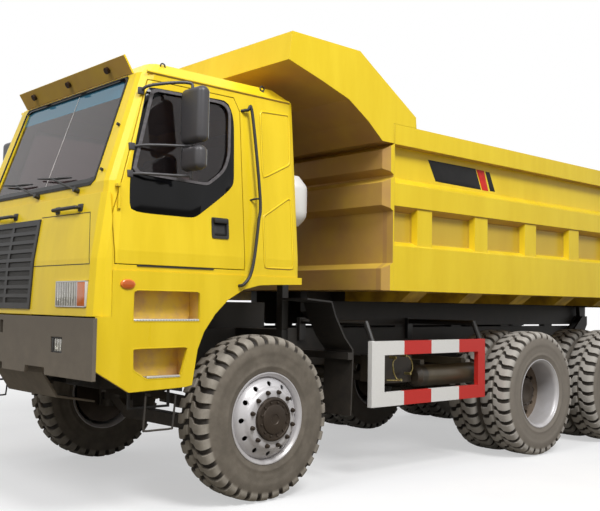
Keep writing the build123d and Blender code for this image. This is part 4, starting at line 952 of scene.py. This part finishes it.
rolled_aluminium, tree, shader, place = finish_of("rolled_aluminium_tread", Metallic=0.5, Roughness=0.34)
teeth = add(tree, "TexVoronoi", place, Scale=1000.0 / 24, Randomness=0.0, feature="F1")
fill(shader, Base_Color=between(tree, teeth, "#F6F6F3", "#C4C2BC", 0.2, 0.5),
     Normal=add(tree, "Bump", Strength=0.8, Distance=0.003, Height=teeth, invert=True))
step_box_paint, tree, shader, place = finish_of("trodden_yellow_step_box", Roughness=0.5)
trodden = add(tree, "TexNoise", place, Scale=5.0, Detail=5.0, Roughness=0.65)
fill(shader, Base_Color=between(tree, trodden, "#F4CC48", "#DDB070", 0.35, 0.65))
grained(tree, shader, 20, 0.15)
for s, hand in SIDES:
    treads = []
    for y0, y1, z in ((-3.880, -3.326, 1.4093), (-3.762, -3.484, 1.0093)):
        treads.append(block((s * 1.292, y0, z), (s * 1.4035, y1, z + 0.008), 0.003))
        treads.append(block((s * 1.396, y0, z + 0.0005), (s * 1.434, y1, z + 0.018), 0.006))
    shell(f"step_treads_{hand}", treads, "chassis", rolled_aluminium)
    backs = [block((s * 1.282, -3.905, 1.395), (s * 1.290, -3.318, 1.640), 0.002),
             block((s * 1.282, -3.892, 0.960), (s * 1.290, -3.408, 1.260), 0.002)]
    backs += [block((s * 1.284, y - 0.003, z), (s * 1.412, y + 0.003, z + 0.245), 0.002)
              for y, z in ((-3.905, 1.395), (-3.314, 1.395), (-3.889, 1.010), (-3.411, 1.010))]
    shell(f"step_backs_{hand}", backs, "chassis", step_box_paint)
    skirt = lambda y, z, lift: np.stack((s * (1.430 + lift) + 0 * y, y, z), -1)
    lips = []
    for far, near, bend in (
        ([(-3.890, 1.403), (-3.315, 1.403), (-3.315, 1.632), (-3.890, 1.632)],
         [(-3.881, 1.4105), (-3.324, 1.4105), (-3.324, 1.6235), (-3.881, 1.6235)], 20),
        ([(-3.883, 1.226), (-3.412, 1.231), (-3.474, 1.004), (-3.771, 1.001), (-3.883, 1.071)],
         [(-3.876, 1.2165), (-3.423, 1.2215), (-3.480, 1.0135), (-3.769, 1.0110), (-3.872, 1.0765)], 30),
    ):
        lips.append(band(rounded(far, 96, 90), rounded(near, 96, bend), skirt, -0.006, 0.0008))
    shell(f"step_opening_lips_{hand}", lips, "chassis", yellow_enamel)
    strap = [(s * 1.404, y, z) for y, z in (
        (-3.752, 0.886), (-3.756, 0.800), (-3.764, 0.660), (-3.752, 0.645), (-3.640, 0.644), (-3.536, 0.645),
        (-3.522, 0.660), (-3.508, 0.800), (-3.500, 0.886))]
    shell(f"hanging_rung_{hand}", [pipe(strap, 0.0075, 10, 5)], "chassis", chassis_black)

# Side guards, tanks and drum
# The underrun guards are square tube in white and red reflective sheeting. The air bottle and the
# fuel tank are olive enamel on rolled steel. The drum behind the cab is white plastic.

banded, tree, shader, place = finish_of("white_and_red_reflective_sheet", Roughness=0.32)
part = add(tree, "SeparateXYZ", place).outputs
bands = [inside(tree, (part[1], "GREATER_THAN", a), (part[1], "LESS_THAN", b))
         for a, b in ((-1.018, -0.628), (-0.204, 9.0))]
red = add(tree, "Math", *bands, operation="MAXIMUM")
outer = add(tree, "Math", part[0], operation="ABSOLUTE")
faced = inside(tree, (outer, "GREATER_THAN", 1.368), (part[2], "LESS_THAN", 1.233))
cells = add(tree, "TexVoronoi", place, Scale=1000.0 / 9, Randomness=0.15)
pale = between(tree, cells, "#F2F1EE", "#E3E2DE", 0.1, 0.6)
bright = between(tree, cells, "#D93A32", "#C62D27", 0.1, 0.6)
fill(shader, Base_Color=between(tree, faced, "#1F1D1B", between(tree, red, pale, bright)))
grained(tree, shader, 10, 0.1, edge=0.004)
wear(banded, "side_guards")

# The air valves on the left, ahead of the bottle, are black.

olive_enamel, tree, shader, place = finish_of("olive_tank_enamel", Roughness=0.4)
part = add(tree, "SeparateXYZ", place).outputs
valves = inside(tree, (part[0], "GREATER_THAN", 0.0), (part[1], "LESS_THAN", -0.520))
# Painted shade: the olive is darkened for the shade the tanks sit in.
fill(shader, Base_Color=dusty(tree, between(tree, valves, "#40392A", "#1D1B19"), "#7A6C54", 0.6, 1.4, 0.4))
grained(tree, shader, 16, 0.3, edge=0.006)
wear(olive_enamel, "air_tanks", "fuel_tank")

white_moulding = painted("white_blown_plastic", "#E9E9E6", "#A39A8A", (1.2, 2.6, 0.4), (10, 0.2),
                         Roughness=0.45)
# columns: radius, height above ground
drum = np.array([(0.0, 2.2195), (0.074, 2.2195), (0.078, 2.226), (0.116, 2.266), (0.136, 2.300),
                 (0.142, 2.340), (0.142, 2.530), (0.136, 2.565), (0.078, 2.642), (0.074, 2.6495),
                 (0.0, 2.6495)])
turn = circle(64)
can = np.stack((1.062 + np.outer(drum[:, 0], np.cos(turn)), -2.120 + np.outer(drum[:, 0], np.sin(turn)),
                np.repeat(drum[:, 1:], turn.size, 1)), -1)
post = [block((0.990, -2.200, 1.330), (1.070, -2.130, 2.2205), 0.006),
        block((0.430, -2.200, 1.230), (1.070, -2.130, 1.330), 0.006)]
made = shell("air_cleaner_drum", [(can, False, True)], "chassis", white_moulding)
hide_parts("air_cleaner")
made = shell("air_cleaner_post", post, "chassis", chassis_black)
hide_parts("air_cleaner")

# Beside the air bottle the valves carry brass unions and thin bent pipes.

yellow_brass = mottled("turned_brass_union", "#8F7F45", "#C7BC86", 45.0, Metallic=0.9, Roughness=0.35)
unions = [pipe(path, 0.006, 10, 5) for path in (
    [(1.305, -1.010, 1.070), (1.318, -1.028, 1.062), (1.320, -1.062, 1.020), (1.320, -1.044, 0.930),
     (1.319, -0.990, 0.866), (1.305, -0.930, 0.862)],
    [(1.305, -0.860, 1.084), (1.320, -0.846, 1.078), (1.322, -0.800, 1.030), (1.321, -0.786, 0.960),
     (1.305, -0.800, 0.915)],
    [(1.300, -1.120, 0.868), (1.312, -1.060, 0.866), (1.316, -1.000, 0.862), (1.304, -0.930, 0.862)],
)]
unions += [pipe([(x, y, z) for x in (1.240, 1.280, 1.312)], 0.013, 12, 2)
           for y, z in ((-1.010, 1.070), (-0.860, 1.084), (-0.930, 0.862), (-0.800, 0.915))]
shell("air_valve_unions", unions, "chassis", yellow_brass)

# Tipping body
# Folded and welded wear plate in the same yellow, sprayed thicker: its outside is glossy with soft
# waves between the stiffeners, and its floor and inner walls are scuffed through to grey primer.
# Brown shade is painted into the recesses between the posts, on faces turned down and on the headboard's
# front.

body_enamel, tree, shader, place = finish_of("yellow_body_enamel_with_scuffs", Coat_Weight=0.06,
                                             Coat_Roughness=0.12, Specular_IOR_Level=0.25)
part = add(tree, "SeparateXYZ", place).outputs
stretch = add(tree, "Mapping", place, Scale=(2.0, 2.0, 0.4))
streak = add(tree, "TexNoise", stretch, Scale=1.6, Detail=7.0, Roughness=0.62)
sprayed = between(tree, streak, "#E9C81E", "#F2D42D", 0.28, 0.74)
out_x = add(tree, "Math", part[0], operation="ABSOLUTE")
load_space = inside(tree, (out_x, "LESS_THAN", 1.4205), (part[1], "GREATER_THAN", -1.3205),
                    (part[2], "GREATER_THAN", 1.695))
drag = add(tree, "Mapping", place, Scale=(9.0, 0.7, 9.0))
scrape = add(tree, "TexNoise", drag, Scale=2.5, Detail=9.0, Roughness=0.72)
depth = add(tree, "MapRange", part[2], 1.7, 3.1, 0.62, 0.36)
scuffed = add(tree, "Math", inside(tree, (scrape, "LESS_THAN", depth)), load_space, operation="MULTIPLY")
primer = between(tree, scrape, "#77706A", "#9A8F7E", 0.3, 0.6)
# Painted shade: the recesses between the posts turn brown below 2.4 m.
recess_shade = inside(tree, (out_x, "LESS_THAN", 1.478), (out_x, "GREATER_THAN", 1.43))
below = add(tree, "MapRange", part[2], 2.40, 2.44, 0.42, 0.0)
recess_shade = add(tree, "Math", recess_shade, below, operation="MULTIPLY")
coat_with_recess_shade = between(tree, recess_shade, dusty(tree, sprayed, "#C8A534", 1.3, 2.2, 0.12), "#8F6848")
wave = add(tree, "TexNoise", place, Scale=2.4, Detail=1.0)
soft_edge = add(tree, "Bevel", 0.008, samples=4)
# Painted shade: brown where the plate faces down and on the headboard's front under the canopy.
fill(shader, Base_Color=between(tree, scuffed, painted_shade(tree, coat_with_recess_shade, 0.85, -1.4), primer),
     Roughness=add(tree, "MapRange", scuffed, 0.0, 1.0, 0.33, 0.6),
     Normal=add(tree, "Bump", Strength=0.5, Distance=0.006, Height=wave, Normal=soft_edge))
wear(body_enamel, "bed_floor", "bed_side_left", "bed_side_right", "bed_headboard", "bed_canopy")

# The side's field is cut from cast vinyl film: a black panel, then a red and a black slanting
# stripe. It is thin and half glossy, with a faint mottle.


def side_of_body(side):
    """A point lift outside the body's left or right wall, which stands upright."""
    return lambda y, z, lift: np.stack((side * (1.4602 + lift) + 0 * y, y, z), -1)


def cut_film(corners, side):
    """A thin plate in a four-cornered outline on the body's wall; its edges are straight runs."""
    corners = np.asarray(corners, float)
    share = np.arange(8)[:, None] / 8
    outline = np.vstack([a + (b - a) * share for a, b in zip(corners, np.roll(corners, -1, 0))])
    return cover(outline, side_of_body(side), 0.0, 0.001)


black_film, red_film = (
    mottled(f"{name}_vinyl_film", dark, pale, 18.0, Roughness=0.45, Specular_IOR_Level=0.25)
    for name, dark, pale in (("black", "#0C0B0B", "#131212"), ("red", "#C6241C", "#D8352B")))
for side, hand in SIDES:
    dark = [cut_film([(-0.751, 2.925), (-0.637, 2.731), (0.087, 2.725), (-0.008, 2.926)], side),
            cut_film([(0.157, 2.918), (0.241, 2.727), (0.327, 2.728), (0.228, 2.918)], side)]
    shell(f"side_film_black_{hand}", dark, "bed", black_film)
    bright = [cut_film([(0.006, 2.923), (0.106, 2.723), (0.212, 2.723), (0.133, 2.922)], side)]
    shell(f"side_film_red_{hand}", bright, "bed", red_film)

# The canopy's cheeks meet the side walls over the headboard's edge in a filled butt weld.

welds = [block((s * 1.425, -1.3357, 2.9865), (s * 1.5493, -1.3203, 3.1645), 0.002) for s in (1, -1)]
shell("canopy_butt_welds", welds, "bed", body_enamel)

# Under the floor the long members are black, and the cross bearers' outer ends wear a darker,
# duller yellow than the body.

bearer_paint, tree, shader, place = finish_of("black_and_dark_yellow_bearers", Roughness=0.5)
outward = add(tree, "Math", add(tree, "SeparateXYZ", place).outputs[0], operation="ABSOLUTE")
bearer_mottle = add(tree, "TexNoise", place, Scale=6.0, Detail=5.0)
fill(shader, Base_Color=between(tree, inside(tree, (outward, "GREATER_THAN", 0.640)),
                                dusty(tree, "#211F1D", "#6B5F50", 0.9, 1.7, 0.3),
                                between(tree, bearer_mottle, "#8E6F1C", "#C7A426", 0.3, 0.7)))
grained(tree, shader, 14, 0.5, edge=0.004)
wear(bearer_paint, "bed_underframe")

# Seats
# Each seat is a foam cushion and back in hard-wearing cloth over a steel pan on a moulded box. The
# foam crowns between its edges and is drawn in along sewn channels. The weave is drawn 6 mm coarse.

woven_cloth = webbed("charcoal_woven_seat_cloth", "XY", "MULTIPLY", 0.006, ("#2A2B2F", "#43454B", 0.1, 0.7),
                     (0.7, 0.0015), Roughness=0.9, Sheen_Weight=0.3)


def cushion(low, high, crown, channels, pull=0.02):
    """A stuffed pad: a rounded box whose top rises by crown x (1 - u^2)(1 - v^2) less the channels'
    depth x cos(pi n u / 2) ** 16, and whose sides pull in by pull x (1 - w^2) halfway up."""
    grid, wraps, ends = block(low, high, 0.045, 14)
    low, high = np.asarray(low, float), np.asarray(high, float)
    n = 2 * (grid - (low + high) / 2) / (high - low)
    edge = np.clip((1 - n[..., 0] ** 2) * (1 - n[..., 1] ** 2), 0, None)
    top = np.clip(n[..., 2], 0, 1)
    seams = 0.014 * np.cos(pi * channels * n[..., 0] / 2) ** 16
    grid[..., 2] += top * (crown * edge - seams * np.sqrt(edge))
    grid[..., :2] -= n[..., :2] * pull * (1 - n[..., 2:3] ** 2) * np.array([1.0, 0.6])
    return grid, wraps, ends


def leaned(grid, pivot, angle):
    """The pad turned about a level X line through the pivot (y, z)."""
    y, z = grid[..., 1] - pivot[0], grid[..., 2] - pivot[1]
    return np.stack((grid[..., 0], pivot[0] + y * cos(angle) - z * sin(angle),
                     pivot[1] + y * sin(angle) + z * cos(angle)), -1)


for x, hand in ((0.760, "left"), (-0.200, "right")):
    pad = cushion((x - 0.245, -3.195, 2.118), (x + 0.245, -2.690, 2.240), 0.022, 4)
    seat = shell(f"seat_cushion_{hand}", [pad], "chassis", woven_cloth, 60)
    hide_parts("seats")
    grid, wraps, ends = cushion((x - 0.235, -2.890, 2.250), (x + 0.235, -2.250, 2.345), 0.020, 4)
    grid = leaned(grid, (-2.890, 2.250), radians(80)) + (0, 0.185, 0.0)
    back = shell(f"seat_back_{hand}", [(grid, wraps, ends)], "chassis", woven_cloth, 60)
    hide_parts("seats")
    box_parts = [block((x - 0.228, -3.178, 1.7985), (x + 0.228, -2.702, 2.085), 0.02),
                 block((x - 0.240, -3.185, 2.080), (x + 0.240, -2.700, 2.122), 0.012)]
    seat_box = shell(f"seat_box_{hand}", box_parts, "chassis", black_moulding)
    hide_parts("seats")
